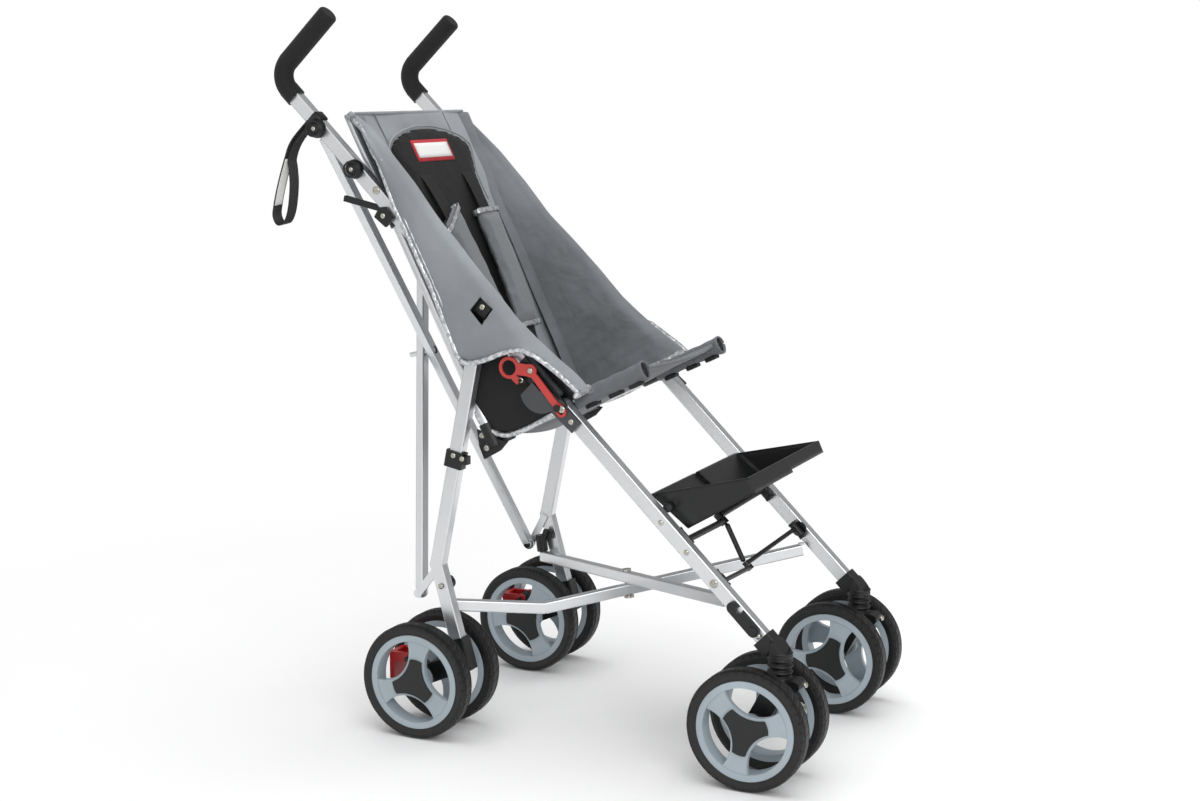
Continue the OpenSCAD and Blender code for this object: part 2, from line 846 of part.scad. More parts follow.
module rear_joint(right) {
    base = [-joint_x, rear_end_y, rear_end_z];
    on_side(right) color("#1f2023")
        difference() {
            union() {
                translate(base) rotate([-cross_up_ang, 0, 0]) translate([0, 0, cross_h / 2 + gap])
                    cylinder(h = rj_h, r = rj_r);
                across(-joint_x, inner_x + ear_gap, rear_joint, rj_r);
                across(-joint_x, outer_x - lever_head_t, rear_joint, pin_r);
                plate(-joint_x - rj_r / 2, -joint_x + rj_r / 2)
                    strip2(rear_joint, [rear_end_y, rear_end_z + cross_h + post_h], 2 * rj_r - over);
            }
            translate(base) rotate([-cross_up_ang, 0, 0]) translate([0, 0, -over])
                cylinder(h = cross_h / 2 + post_h + gap + over, r = post_r + fit);
        }
}

// Rear cross behind the back

rear_set = 44;
rear_low_drop = 20;
rear_top_set = 26;
rear_low = [rear_joint[0] + rear_set, rear_joint[1] - rear_low_drop];
rear_top = beside(cross_top_at, rear_top_set);
rear_half = cross_t / 2 + 5 * gap;
rear_dir = unit2(rear_top - rear_low);
rear_norm = [rear_dir[1], -rear_dir[0]];
rear_ang = atan2(rear_dir[1], rear_dir[0]);
rear_top_in = 4;
rear_low_in = 2;
rear_top_x = joint_x - rear_top_in;
rear_low_x = joint_x - rear_low_in;

function rear_point(s, p, k) = [s, p[0] + k * rear_norm[0], p[1] + k * rear_norm[1]];

// Roll that turns a bar's thin side to the plane of the rear cross
function rear_roll(v) = let (turn = atan2(v[1], v[0]), tilt = atan2(norm([v[0], v[1]]), v[2]))
    atan2(-rear_norm * [cos(tilt) * sin(turn), -sin(tilt)], rear_norm[0] * cos(turn));

module rear_bar(p, q) {
    v = q - p;
    translate(p) rotate([0, 0, atan2(v[1], v[0])]) rotate([0, atan2(norm([v[0], v[1]]), v[2]), 0])
        linear_extrude(norm(v)) rotate(rear_roll(v)) tube_ring(cross_h, cross_t, tube_corner, tube_wall);
}

plug_from = 6;
plug_len = 9;
socket_r = 9.6;
ball_r = 6;
stud_r = 2.5;
loose = 2.6;
lug_plate_t = 3;
lug_plate_w = 12;

// Solid end of a rear cross tube next to its ball socket
module rear_plug(p, d) {
    translate(p) rotate([0, 0, atan2(d[1], d[0])]) rotate([0, atan2(norm([d[0], d[1]]), d[2]), 0])
        translate([0, 0, plug_from]) linear_extrude(plug_len) rotate(rear_roll(d))
            section(cross_h - tube_wall, cross_t - tube_wall, tube_corner);
}

// Ball stud on the inner face of the rear leg for the low end of a rear cross tube
module cross_ball(right) {
    p = rear_low + rear_norm * (right ? rear_half : -rear_half);
    plate(inner_x, inner_x + lug_plate_t) union() {
        strip2(rear_bend, p, lug_plate_w);
        disc2(p, lug_plate_w / 2 + over / 2);
    }
    across(inner_x, -rear_low_x, p, stud_r);
    translate([-rear_low_x, p[0], p[1]]) sphere(r = ball_r);
}

module rear_cross_tube(right) {
    k = right ? rear_half : -rear_half;
    s = right ? -1 : 1;
    low = rear_point(s * rear_low_x, rear_low, k);
    top = rear_point(-s * rear_top_x, rear_top, k);
    mid = mix(low, top, rear_low_x / (rear_low_x + rear_top_x));
    dir = (top - low) / norm(top - low);
    color("silver") difference() {
        union() {
            rear_bar(low + dir * plug_from, top);
            rear_plug(low, dir);
            translate(low) sphere(r = socket_r);
        }
        translate(mid) rotate([rear_ang - 180, 0, 0])
            cylinder(h = 2 * cross_h, r = bolt_r + (right ? fit : loose), center = true);
        translate(low) rotate([0, 90, 0]) cylinder(h = 2 * socket_r + over, r = ball_r + gap, center = true);
    }
    if (right) color("#2a2b2e") translate(mid) rotate([rear_ang - 180, 0, 0]) {
        translate([0, 0, -rear_half - cross_t]) cylinder(h = 2 * cross_t + 2 * rear_half, r = bolt_r);
    }
}

// Footrest: two nested tray halves on the front legs, with folding arms, links and a push bar

tray_back_top = [-130, -126];
tray_front_top = [-283, -88];
tray_front_low = [-293, -110];
tray_back_low = [-190, -172];
tray_x = half - half_w - tray_leg_gap;
nest = tray_wall + gap;
lean_share = 1.35;
tray_lug_at = 215;
tray_lug_set = 15;
tray_lug_r = 7;

function from_knee(p) = [knee_y, knee_z] + p;
tray_dir = unit2(tray_front_low - tray_back_low);
back_wall = unit2(tray_back_top - tray_back_low);
front_wall = unit2(tray_front_top - tray_front_low);

// The tray's side outline, moved in from the back, the front and the floor, and up past its open top
function tray_side(k, up) = [
    from_knee(tray_back_top) + tray_dir * k * lean_share + back_wall * up,
    from_knee(tray_front_top) - tray_dir * k + front_wall * up,
    from_knee(tray_front_low) - tray_dir * k + front_wall * k,
    from_knee(tray_back_low) + tray_dir * k * lean_share + back_wall * k];

module footrest_half(right) {
    k = right ? 0 : nest;
    on_side(right) color("#1e1f21")
        difference() {
            plate(-tray_x, tray_lap / 2) polygon(tray_side(k, 0));
            plate(-tray_x + tray_wall, tray_lap + over) polygon(tray_side(k + tray_wall, over));
        }
    on_side(right) color("#1e1f21")
        across(-tray_x + tray_wall / 2, inner_x, beside(-tray_lug_at, -tray_lug_set), tray_lug_r);
}

arm_r = 5;
arm_set = 12;
link_r = 3.6;
link_drop = 30;
eye_r = 6;

// Right and left bars lie beside each other along the leg, so that they pass in the fold
arm_side = arm_r + gap;
link_side = link_r + gap;
tip_x = 0;
arm_from = 2;

module rod(p, q, r) {
    v = q - p;
    translate(p) rotate([0, 0, atan2(v[1], v[0])]) rotate([0, atan2(norm([v[0], v[1]]), v[2]), 0])
        cylinder(h = norm(v), r = r);
}

// A bar from the pin on the leg to the middle of the buggy, with an eye at both ends
module swing_bar(pin_x, a, side, set, r) {
    tip = beside(-a - side, set);
    difference() {
        union() {
            rod(concat([pin_x], along(-a - side)), concat([tip_x], tip), r);
            in_plane(pin_x, along(-a), frame_pitch)
                translate([0, 0, -lug_len / 2 + gap]) cylinder(h = lug_len - 2 * gap, r = eye_r);
            in_plane(tip_x, tip, frame_pitch) cylinder(h = 2 * r, r = r + arm_from, center = true);
        }
        in_plane(pin_x, along(-a), frame_pitch)
            translate([0, 0, -lug_len]) cylinder(h = 2 * lug_len, r = lug_pin_r + fit);
        in_plane(tip_x, tip, frame_pitch) cylinder(h = 2 * r + over, r = lug_pin_r + fit, center = true);
    }
}

module footrest_arm(right) {
    s = right ? 1 : -1;
    color("#19191b") swing_bar(s * lug_x, arm_at, s * arm_side, arm_set, arm_r);
}

module footrest_link(right) {
    s = right ? 1 : -1;
    color("#2c2a2c") swing_bar(s * lug_x, front_joint_at, s * link_side, link_drop, link_r);
}

bar_r = 4;

// The push bar hangs on the right arm by a pin along the leg
module push_bar() {
    top_at = arm_at + arm_side + arm_r + bar_r + 2 * gap;
    low_at = front_joint_at - link_side - link_r - bar_r - 2 * gap;
    top = beside(-top_at, arm_set);
    low = beside(-low_at, link_drop);
    color("#2c2a2c") {
        rod(concat([tip_x], top), concat([tip_x], low), bar_r);
        in_plane(tip_x, top, frame_pitch) cylinder(h = arm_r + bar_r + 2 * gap, r = lug_pin_r);
        translate(concat([tip_x], top)) sphere(r = bar_r + gap / 2);
        translate(concat([tip_x], low)) sphere(r = bar_r + gap / 2);
    }
}

// Seat cloth: a sling from the front of the seat to the top of the back

cloth_u = 12;
cloth_v = 10;
sling_in = 3;
sling_lift = 2;
seat_front = seat_corner + rail_dir * rail_len;
back_top = seat_corner + back_dir * back_len;
seat_norm = [sin(rail_rise), cos(rail_rise)];
back_norm = [-sin(back_slope), cos(back_slope)];
rail_clear = rail_d / 2 + gap;
back_clear_r = back_tube_d / 2 + gap;
seat_half = -rail_x - rail_clear - sleeve_wall - sling_in;
back_half = -back_x - back_clear_r - sleeve_wall - sling_in;
seat_touch = -rail_x - rail_clear;
front_share = 0.1;
corner_keep = 30;

// Middle line of the sling: u from 0 at the seat's front to 1 at the top of the back
seat_share = 0.36;
function sling_line(u) = u < seat_share
    ? mix(seat_front, seat_corner + rail_dir * corner_keep, u / seat_share)
    : mix(seat_corner + back_dir * corner_keep, back_top, (u - seat_share) / (1 - seat_share));
function sling_half(u) = u < front_share ? seat_touch : u < seat_share ? seat_half
    : mix(seat_half, back_half, min(1, (u - seat_share) / (1 - seat_share) * 2));
function sling_norm(u) = u < seat_share ? seat_norm : back_norm;
function sling_sag(u) = u < seat_share ? seat_sag : mix(seat_sag, back_sag, (u - seat_share) / (1 - seat_share));
function sling_point(u, t, lift) = let (
    p = sling_line(u) - sling_norm(u) * (sling_sag(u) * (1 - t * t) - lift))
    [t * sling_half(u), p[0], p[1]];
cloth_seat = 4;
tiny_share = 0.0001;
sling_steps = [for (i = [0:cloth_u]) i <= cloth_seat ? i / cloth_seat * (seat_share - tiny_share)
    : seat_share + (i - cloth_seat - 1) / (cloth_u - cloth_seat - 1) * (1 - seat_share)];

// A closed sheet from two grids of points with the same counts
module sheet(top, low, nu, nv) {
    w = nv + 1;
    n = (nu + 1) * w;
    function at(i, j) = i * w + j;
    upper = [for (i = [0:nu - 1], j = [0:nv - 1]) each [[at(i, j), at(i, j + 1), at(i + 1, j)],
        [at(i, j + 1), at(i + 1, j + 1), at(i + 1, j)]]];
    lower = [for (f = upper) [f[0] + n, f[2] + n, f[1] + n]];
    ring = concat([for (j = [0:nv - 1]) at(0, j)], [for (i = [0:nu - 1]) at(i, nv)],
        [for (j = [nv:-1:1]) at(nu, j)], [for (i = [nu:-1:1]) at(i, 0)]);
    m = len(ring);
    rim_faces = [for (k = [0:m - 1]) let (a = ring[k], b = ring[(k + 1) % m])
        each [[a, a + n, b], [b, a + n, b + n]]];
    polyhedron(concat(top, low), concat(upper, lower, rim_faces));
}

module seat_cloth() {
    grid = [for (u = sling_steps, j = [0:cloth_v]) sling_point(u, 2 * j / cloth_v - 1, sling_lift)];
    under = [for (u = sling_steps, j = [0:cloth_v]) sling_point(u, 2 * j / cloth_v - 1, sling_lift - cloth_t)];
    color("#6f7175") sheet(grid, under, cloth_u, cloth_v);
}

// Side cloth: from the seat's edge up the inside, over the handle tube and down its outside

wrap_gap = 7;
wing_len = 500;
crest_rise = 64;
crest_fall = 12;
hem_drop = 66;
wing_shares = [1, 0.88, 0.76, 0.64, 0.52, 0.4, 0.32, 0.27, 0.224, 0.16, 0.08, 0.02];
crest_shares = [1, 0.92, 0.85, 0.78, 0.71, 0.65, 0.65, 0.66, 0.66, 0.67, 0.68, 0.69];
hem_shares = [-0.76, -0.54, -0.15, 0.15, 0.46, 0.77, 1, 0.74, 0.07, -0.4, -0.45, -0.46];
side_u = len(wing_shares) - 1;
side_in = 6;
side_ahead = 14;
rail_ahead = 16;
panel_share = 0.5;
corner_a = (seat_corner - along(0)) * [cos(frame_pitch), sin(frame_pitch)];
corner_v = (seat_corner - along(0)) * [sin(frame_pitch), -cos(frame_pitch)];

// How far the back tube lies below the handle line
function back_v(a) = corner_v - (a - corner_a) * tan(back_slope - frame_pitch);
// How far the seat rail lies below the handle line
function rail_v(a) = corner_v + (a - corner_a) * tan(frame_pitch + rail_rise);
function side_path(k) = let (
    a = wing_len * wing_shares[k],
    crest_v = -crest_rise * crest_shares[k],
    over_top = beside(a, crest_v),
    edge = beside(a, min(back_v(a) - side_ahead, rail_v(a) - rail_ahead)),
    upper = beside(a, crest_v + crest_fall),
    hem = beside(a, hem_drop * hem_shares[k]),
    xo = outer_x - wrap_gap,
    xi = inner_x + wrap_gap)
    [[xi + side_in, edge], [xi, mix(edge, upper, panel_share)], [xi, upper], [-half, over_top],
        [xo, upper], [xo, mix(hem, upper, panel_share)], [xo, hem]];

module side_cloth(right) {
    cols = len(side_path(0)) - 1;
    top = [for (k = [0:side_u]) for (p = side_path(k)) [p[0], p[1][0], p[1][1]]];
    low = [for (k = [0:side_u]) let (q = side_path(k)) for (j = [0:cols]) side_under(q, j)];
    on_side(right) color("#9a9da2") sheet(low, top, side_u, cols);
}

// The same point on the other face of the cloth, towards the tube it wraps
function side_under(q, j) = let (p = q[j])
    j < 3 ? [p[0] - cloth_half, p[1][0], p[1][1]]
    : j == 3 ? [p[0], p[1][0] + cloth_half * sin(frame_pitch), p[1][1] - cloth_half * cos(frame_pitch)]
    : [p[0] + cloth_half, p[1][0], p[1][1]];
cloth_half = cloth_t / 2;

// Padded shoulder straps in front of the back

strap_x = 48;
strap_w = 40;
strap_t = 9;
strap_low_at = 190;
strap_top_at = 450;
strap_lift = -15.8;

module shoulder_straps() {
    c = seat_corner + back_norm * strap_lift;
    color("#77797d") for (s = [-1, 1])
        translate([s * strap_x, c[0], c[1]]) rotate([back_slope - 90, 0, 0])
            translate([-strap_w / 2, -strap_t, strap_low_at])
                cube([strap_w, strap_t, strap_top_at - strap_low_at]);
}

// Wrist strap: a flat loop of webbing that hangs from the right handle

web_w = 20;
web_t = 2;
web_drop = 150;
web_back = 42;
web_open = 9;

module wrist_strap() {
    p = beside(strap_collar_at, half_d);
    q = p + [web_back, -web_drop];
    d = unit2(q - p);
    n = [-d[1], d[0]];
    color("#202022") {
        difference() {
            in_plane(-half, along(strap_collar_at - collar_len / 2), frame_pitch) linear_extrude(collar_len)
                section(tube_w + 2 * sleeve_wall, tube_d + 2 * sleeve_wall, tube_corner);
            in_plane(-half, along(strap_collar_at - collar_len), frame_pitch) linear_extrude(2 * collar_len)
                section(tube_w + 2 * fit, tube_d + 2 * fit, tube_corner);
        }
        plate(-half - web_w / 2, -half + web_w / 2) difference() {
            union() {
                polygon([p + d * over, q - n * web_open, q + n * web_open]);
                disc2(q, web_open);
            }
            polygon([p + d * web_drop / 4, q - n * (web_open - web_t), q + n * (web_open - web_t)]);
            disc2(q, web_open - web_t);
        }
    }
}

lower_cross_bolt();
lower_cross_tube(true);  // lower_cross_tube_right
lower_cross_tube(false);  // lower_cross_tube_left
rear_joint(true);  // rear_joint_right
rear_joint(false);  // rear_joint_left
rear_leg(true);  // rear_leg_right
rear_leg(false);  // rear_leg_left
rear_hub(true);  // rear_hub_right
rear_hub(false);  // rear_hub_left
brake_pedal(true);  // brake_pedal_right
brake_pedal(false);  // brake_pedal_left
tyres(true, rear_axle_y);  // rear_tyres_right
tyres(false, rear_axle_y);  // rear_tyres_left
rims(true, rear_axle_y, rear_turn_right);  // rear_rims_right
rims(false, rear_axle_y, rear_turn_left);  // rear_rims_left
axle(true, rear_axle_y);  // rear_axle_right
axle(false, rear_axle_y);  // rear_axle_left
rear_cross_tube(true);  // rear_cross_tube_right
rear_cross_tube(false);  // rear_cross_tube_left
handle_tube(true);  // handle_tube_right
handle_tube(false);  // handle_tube_left
handle_grip(true);  // handle_grip_right
handle_grip(false);  // handle_grip_left
back_tube(true);  // back_tube_right
back_tube(false);  // back_tube_left
seat_rail(true);  // seat_rail_right
seat_rail(false);  // seat_rail_left
frame_brackets(true);  // frame_brackets_right
frame_brackets(false);  // frame_brackets_left
knee_plate(true);  // knee_plate_right
knee_plate(false);  // knee_plate_left
seat_cloth();
side_cloth(true);  // side_cloth_right
side_cloth(false);  // side_cloth_left
shoulder_straps();
wrist_strap();
lock_lever(true);  // lock_lever_right
lock_lever(false);  // lock_lever_left
front_leg(true);  // front_leg_right
front_leg(false);  // front_leg_left
caster_socket(true);  // caster_socket_right
caster_socket(false);  // caster_socket_left
spring_boot(true);  // spring_boot_right
spring_boot(false);  // spring_boot_left
caster_fork(true);  // caster_fork_right
caster_fork(false);  // caster_fork_left
tyres(true, front_axle_y);  // front_tyres_right
tyres(false, front_axle_y);  // front_tyres_left
rims(true, front_axle_y, front_turn_right);  // front_rims_right
rims(false, front_axle_y, front_turn_left);  // front_rims_left
axle(true, front_axle_y);  // front_axle_right
axle(false, front_axle_y);  // front_axle_left
fold_hook();
footrest_half(true);  // footrest_half_right
footrest_half(false);  // footrest_half_left
footrest_arm(true);  // footrest_arm_right
footrest_arm(false);  // footrest_arm_left
footrest_link(true);  // footrest_link_right
footrest_link(false);  // footrest_link_left
push_bar();
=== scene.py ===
"""Looks of the special needs buggy: finishes for its frame, and its cloth, straps, piping and small hardware.

Everything is in metres in the part's own frame: +Z up, the front at -Y, the occupant's right at -X.
Places on a side frame are given in millimetres along the handle line from the knee (a) and below it (v).
"""

import json
import logging
import math
from dataclasses import dataclass, replace
from enum import Enum
from typing import Callable, Iterable, Sequence

import bmesh
import bpy
import numpy as np
from mathutils import Matrix, Vector

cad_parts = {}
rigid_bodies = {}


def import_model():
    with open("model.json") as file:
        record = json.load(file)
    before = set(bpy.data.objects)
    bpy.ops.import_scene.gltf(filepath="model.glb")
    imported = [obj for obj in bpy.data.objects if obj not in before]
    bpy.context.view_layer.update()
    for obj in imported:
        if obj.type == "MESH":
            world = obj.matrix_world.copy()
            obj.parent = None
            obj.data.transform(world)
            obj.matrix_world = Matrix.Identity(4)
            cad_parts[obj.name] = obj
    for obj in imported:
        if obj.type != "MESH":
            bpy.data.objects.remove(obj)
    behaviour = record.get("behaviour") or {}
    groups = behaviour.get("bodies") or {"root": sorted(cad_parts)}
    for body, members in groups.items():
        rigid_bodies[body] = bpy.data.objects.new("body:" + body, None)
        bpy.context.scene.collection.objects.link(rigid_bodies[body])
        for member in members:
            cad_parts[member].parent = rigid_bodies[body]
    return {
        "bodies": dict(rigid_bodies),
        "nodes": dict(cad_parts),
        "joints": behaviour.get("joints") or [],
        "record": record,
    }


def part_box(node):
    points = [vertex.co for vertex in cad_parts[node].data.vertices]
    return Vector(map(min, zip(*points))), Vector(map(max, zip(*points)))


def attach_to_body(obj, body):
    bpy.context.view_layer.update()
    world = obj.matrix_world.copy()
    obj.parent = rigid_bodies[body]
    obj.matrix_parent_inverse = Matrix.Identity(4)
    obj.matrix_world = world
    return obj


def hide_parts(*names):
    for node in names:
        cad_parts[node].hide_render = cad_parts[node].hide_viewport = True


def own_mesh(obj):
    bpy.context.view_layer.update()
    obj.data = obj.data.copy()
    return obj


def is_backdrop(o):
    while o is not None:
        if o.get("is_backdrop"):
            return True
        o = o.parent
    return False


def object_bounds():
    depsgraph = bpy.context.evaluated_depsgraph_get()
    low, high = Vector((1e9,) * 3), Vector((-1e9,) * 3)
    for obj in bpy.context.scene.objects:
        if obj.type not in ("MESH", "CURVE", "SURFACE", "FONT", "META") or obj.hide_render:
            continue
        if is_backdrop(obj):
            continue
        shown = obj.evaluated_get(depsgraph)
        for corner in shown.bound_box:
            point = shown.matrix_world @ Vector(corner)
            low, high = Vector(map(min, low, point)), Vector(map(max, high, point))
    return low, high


LOG = logging.getLogger("buggy")
MM = 0.001
TURN = 2 * math.pi
WHITE = (1, 1, 1, 1)

Table = tuple[tuple[float, ...], ...]
Node = bpy.types.Node
Piece = bpy.types.Object
Socket = bpy.types.NodeSocket
Tree = bpy.types.NodeTree


class Side(Enum):
    """A side of the buggy, with the sign of its X."""

    RIGHT = -1
    LEFT = 1

    @property
    def word(self) -> str:
        """The side's word in piece and body names."""
        return self.name.lower()

    @property
    def out(self) -> Vector:
        """The direction away from the middle."""
        return Vector((self.value, 0, 0))


def linear(code: str) -> tuple[float, float, float, float]:
    """Turns an sRGB hex code into a linear colour.

    Args:
        code: Six hex digits after a hash.

    Returns:
        Red, green, blue and alpha.
    """
    parts = [int(code[i : i + 2], 16) / 255 for i in (1, 3, 5)]
    flat = [c / 12.92 if c <= 0.04045 else ((c + 0.055) / 1.055) ** 2.4 for c in parts]
    return (flat[0], flat[1], flat[2], 1.0)


def add_node(tree: Tree, kind: str, feeds: dict | None = None, **settings: object) -> Node:
    """Adds a shader node with its settings and inputs.

    Args:
        tree: The node tree.
        kind: The node's type name after "ShaderNode".
        feeds: Names or numbers of inputs, with the sockets or values that feed them.
        settings: Properties of the node.

    Returns:
        The new node.
    """
    node = tree.nodes.new("ShaderNode" + kind)
    for name, value in settings.items():
        setattr(node, name, value)
    for key, value in (feeds or {}).items():
        if isinstance(value, Socket):
            tree.links.new(value, node.inputs[key])
        else:
            node.inputs[key].default_value = value
    return node


def calc(tree: Tree, operation: str, *terms: Socket | float) -> Socket:
    """The result of a math node on sockets or numbers."""
    return add_node(tree, "Math", dict(enumerate(terms)), operation=operation).outputs[0]


def noise(tree: Tree, place: Socket, scale: float, detail: float = 2.0, distortion: float = 0.0) -> Socket:
    """Smooth noise round one half at a place."""
    feeds = {"Vector": place, "Scale": scale, "Detail": detail, "Distortion": distortion}
    return add_node(tree, "TexNoise", feeds).outputs["Fac"]


def remap(tree: Tree, value: Socket, start: tuple, end: tuple = (0.0, 1.0), kind: str = "LINEAR") -> Socket:
    """Maps a value from one range to another."""
    feeds = {"Value": value, "From Min": start[0], "From Max": start[1], "To Min": end[0], "To Max": end[1]}
    return add_node(tree, "MapRange", feeds, interpolation_type=kind).outputs["Result"]


def relief(tree: Tree, height: Socket, strength: float, deep: float, under: Socket | None = None) -> Socket:
    """A normal from a height, whose 1 is so deep in metres, over another normal if there is one."""
    feeds = {"Height": height, "Strength": strength, "Distance": deep} | ({"Normal": under} if under else {})
    return add_node(tree, "Bump", feeds).outputs["Normal"]


# ---------------------------------------------------------------- finishes


@dataclass(frozen=True)
class Finish:
    """A surface: its real material, how it was made, and what that gives the eye."""

    name: str
    colour: str
    roughness: float
    metallic: float = 0.0
    grain_mm: float = 3.0
    bump: float = 0.1
    mottle: float = 0.08
    coat: float = 0.0
    sheen: float = 0.0
    edge_mm: float = 0.0

    def build(self) -> bpy.types.Material:
        """Makes the material once and returns it afterwards."""
        known = bpy.data.materials.get(self.name)
        if known:
            return known
        made = bpy.data.materials.new(self.name)
        made.use_nodes = True
        tree = made.node_tree
        shader = tree.nodes["Principled BSDF"]
        shader.inputs["Metallic"].default_value = self.metallic
        shader.inputs["Coat Weight"].default_value = self.coat
        shader.inputs["Sheen Weight"].default_value = self.sheen
        self.dress(tree, shader, add_node(tree, "TexCoord").outputs["Object"])
        return made

    def dress(self, tree: Tree, shader: Node, place: Socket) -> None:
        """Adds colour mottle, roughness variation and fine relief.

        Args:
            tree: The material's tree.
            shader: Its main shader.
            place: Coordinates in metres.
        """
        fine, spread = noise(tree, place, 1000 / self.grain_mm), 0.06
        self.tint(tree, shader, noise(tree, place, 9.0, 3.0))
        rough = remap(tree, fine, (0.0, 1.0), (self.roughness - spread, self.roughness + spread))
        tree.links.new(rough, shader.inputs["Roughness"])
        self.texture(tree, shader, fine, self.grain_mm * MM * 0.2)

    def tint(self, tree: Tree, shader: Node, factor: Socket) -> None:
        """Lets the colour drift a little around its value.

        Args:
            tree: The material's tree.
            shader: Its main shader.
            factor: A value round one half.
        """
        base = linear(self.colour)
        drift = add_node(tree, "ValToRGB", {"Fac": factor})
        low, high = drift.color_ramp.elements
        low.position, high.position = 0.3, 0.7
        low.color = [c * (1 - self.mottle) for c in base[:3]] + [1.0]
        high.color = [min(1.0, c * (1 + self.mottle)) for c in base[:3]] + [1.0]
        tree.links.new(drift.outputs["Color"], shader.inputs["Base Color"])

    def texture(self, tree: Tree, shader: Node, height: Socket, deep: float) -> None:
        """Adds the surface's relief.

        Args:
            tree: The material's tree.
            shader: Its main shader.
            height: The height, 0 to 1.
            deep: The height of 1 in metres.
        """
        soft = None
        if self.edge_mm:
            # moulded edges are rounded, which draws a light line along them
            soft = add_node(tree, "Bevel", {"Radius": self.edge_mm * MM}, samples=4).outputs["Normal"]
        tree.links.new(relief(tree, height, self.bump, deep, soft), shader.inputs["Normal"])


@dataclass(frozen=True)
class Woven(Finish):
    """Woven cloth: crossed threads, a faint slub, and soft creases where it was folded."""

    thread_mm: float = 2.2
    crease: float = 0.35
    weave_mm: float = 0.3
    crease_mm: float = 9.0

    def dress(self, tree: Tree, shader: Node, place: Socket) -> None:
        """Adds the weave, slub and creases.

        Args:
            tree: The material's tree.
            shader: Its main shader.
            place: Coordinates in metres.
        """
        shader.inputs["Roughness"].default_value = self.roughness
        self.tint(tree, shader, noise(tree, place, 8.0, 4.0))
        # real threads lie about 0.5 mm apart, too fine for the render, so they are drawn coarser
        feeds = {"Vector": place, "Scale": 314 / self.thread_mm, "Distortion": 6.0}
        threads = [add_node(tree, "TexWave", feeds, bands_direction=axis).outputs["Fac"] for axis in "YZ"]
        weave = relief(tree, calc(tree, "ADD", *threads), self.bump, self.weave_mm * MM)
        soft = relief(tree, noise(tree, place, 16.0, 3.0, 0.3), self.crease, self.crease_mm * MM, weave)
        tree.links.new(soft, shader.inputs["Normal"])


@dataclass(frozen=True)
class Crinkled(Finish):
    """Metallised tape over a cord: small facets that flash light and dark."""

    facet_mm: float = 4.0

    def dress(self, tree: Tree, shader: Node, place: Socket) -> None:
        """Adds the crinkles.

        Args:
            tree: The material's tree.
            shader: Its main shader.
            place: Coordinates in metres.
        """
        shader.inputs["Roughness"].default_value = self.roughness
        cells = add_node(tree, "TexVoronoi", {"Vector": place, "Scale": 1000 / self.grain_mm})
        self.tint(tree, shader, cells.outputs["Distance"])
        self.texture(tree, shader, cells.outputs["Distance"], self.facet_mm * MM)


@dataclass(frozen=True)
class Tread(Finish):
    """Tyre rubber with slanting grooves across its tread."""

    axle: tuple[float, float] = (0.0, 0.0)
    grooves: float = 40.0
    slant: float = 260.0
    tread_mm: float = 84.0
    groove_mm: float = 3.0

    def dress(self, tree: Tree, shader: Node, place: Socket) -> None:
        """Adds rubber, and grooves that run round the axle outside the tread's radius.

        Args:
            tree: The material's tree.
            shader: Its main shader.
            place: Coordinates in metres.
        """
        super().dress(tree, shader, place)
        axes = add_node(tree, "SeparateXYZ", {"Vector": place}).outputs
        y = calc(tree, "SUBTRACT", axes["Y"], self.axle[0])
        z = calc(tree, "SUBTRACT", axes["Z"], self.axle[1])
        slant = calc(tree, "MULTIPLY", axes["X"], self.slant)
        phase = calc(tree, "MULTIPLY_ADD", calc(tree, "ARCTAN2", z, y), self.grooves, slant)
        block = remap(tree, calc(tree, "SINE", phase), (-0.9, -0.5))
        flat = add_node(tree, "CombineXYZ", {"Y": y, "Z": z}).outputs[0]
        radius = add_node(tree, "VectorMath", {0: flat}, operation="LENGTH").outputs["Value"]
        wall = calc(tree, "LESS_THAN", radius, self.tread_mm * MM)
        cut = relief(tree, calc(tree, "MAXIMUM", block, wall), 0.8, self.groove_mm * MM)
        tree.links.new(cut, shader.inputs["Normal"])


# drawn and anodised tube: satin silver with fine streaks
TUBE = Finish("anodised_aluminium_drawn", "#DADCDE", 0.3, metallic=0.9, grain_mm=1.6, bump=0.04, mottle=0.03)
# pressed and painted steel: dark grey, smooth
PLATE = Finish("painted_steel_pressed", "#4A4B4E", 0.42, metallic=0.35, grain_mm=2.0, bump=0.08)
# powder-coated steel rod: black with a fine orange peel
ROD = Finish("powder_coated_steel", "#070708", 0.4, grain_mm=2.5, bump=0.15)
# nickel-plated rivets: bright and a little worn
NICKEL = Finish("nickel_plated_steel", "#B3B0A6", 0.2, metallic=1.0, grain_mm=1.5, bump=0.03)
# glass-filled nylon, moulded: black with a fine spark-eroded grain
NYLON = Finish("glass_filled_nylon_moulded", "#090A0B", 0.42, grain_mm=1.3, bump=0.2, edge_mm=1.5)
# polypropylene tray, moulded: deep black and slightly glossier
TRAY = Finish("polypropylene_moulded", "#0B0C0D", 0.34, grain_mm=1.5, bump=0.12, edge_mm=9.0)
# ABS, moulded and polished: coral red lever and deep red pedal
LEVER_RED = Finish("abs_moulded_coral", "#C23A34", 0.36, coat=0.2, grain_mm=2.0, bump=0.05, edge_mm=1.2)
PEDAL_RED = Finish("abs_moulded_red", "#B81D1E", 0.36, coat=0.2, grain_mm=2.0, bump=0.05)
# closed-cell foam sleeve: matte with open pores
FOAM = Finish("eva_foam_sleeve", "#080809", 0.8, grain_mm=1.1, bump=0.5, sheen=0.05)
# solid rubber tyre, moulded: matte, with slanting grooves in relief
RUBBER = Tread("solid_rubber_tyre", "#070708", 0.48, grain_mm=1.6, bump=0.25, mottle=0.15)
# rubber bellows, moulded
BELLOWS = Finish("moulded_rubber_bellows", "#070708", 0.45, grain_mm=1.2, bump=0.15)
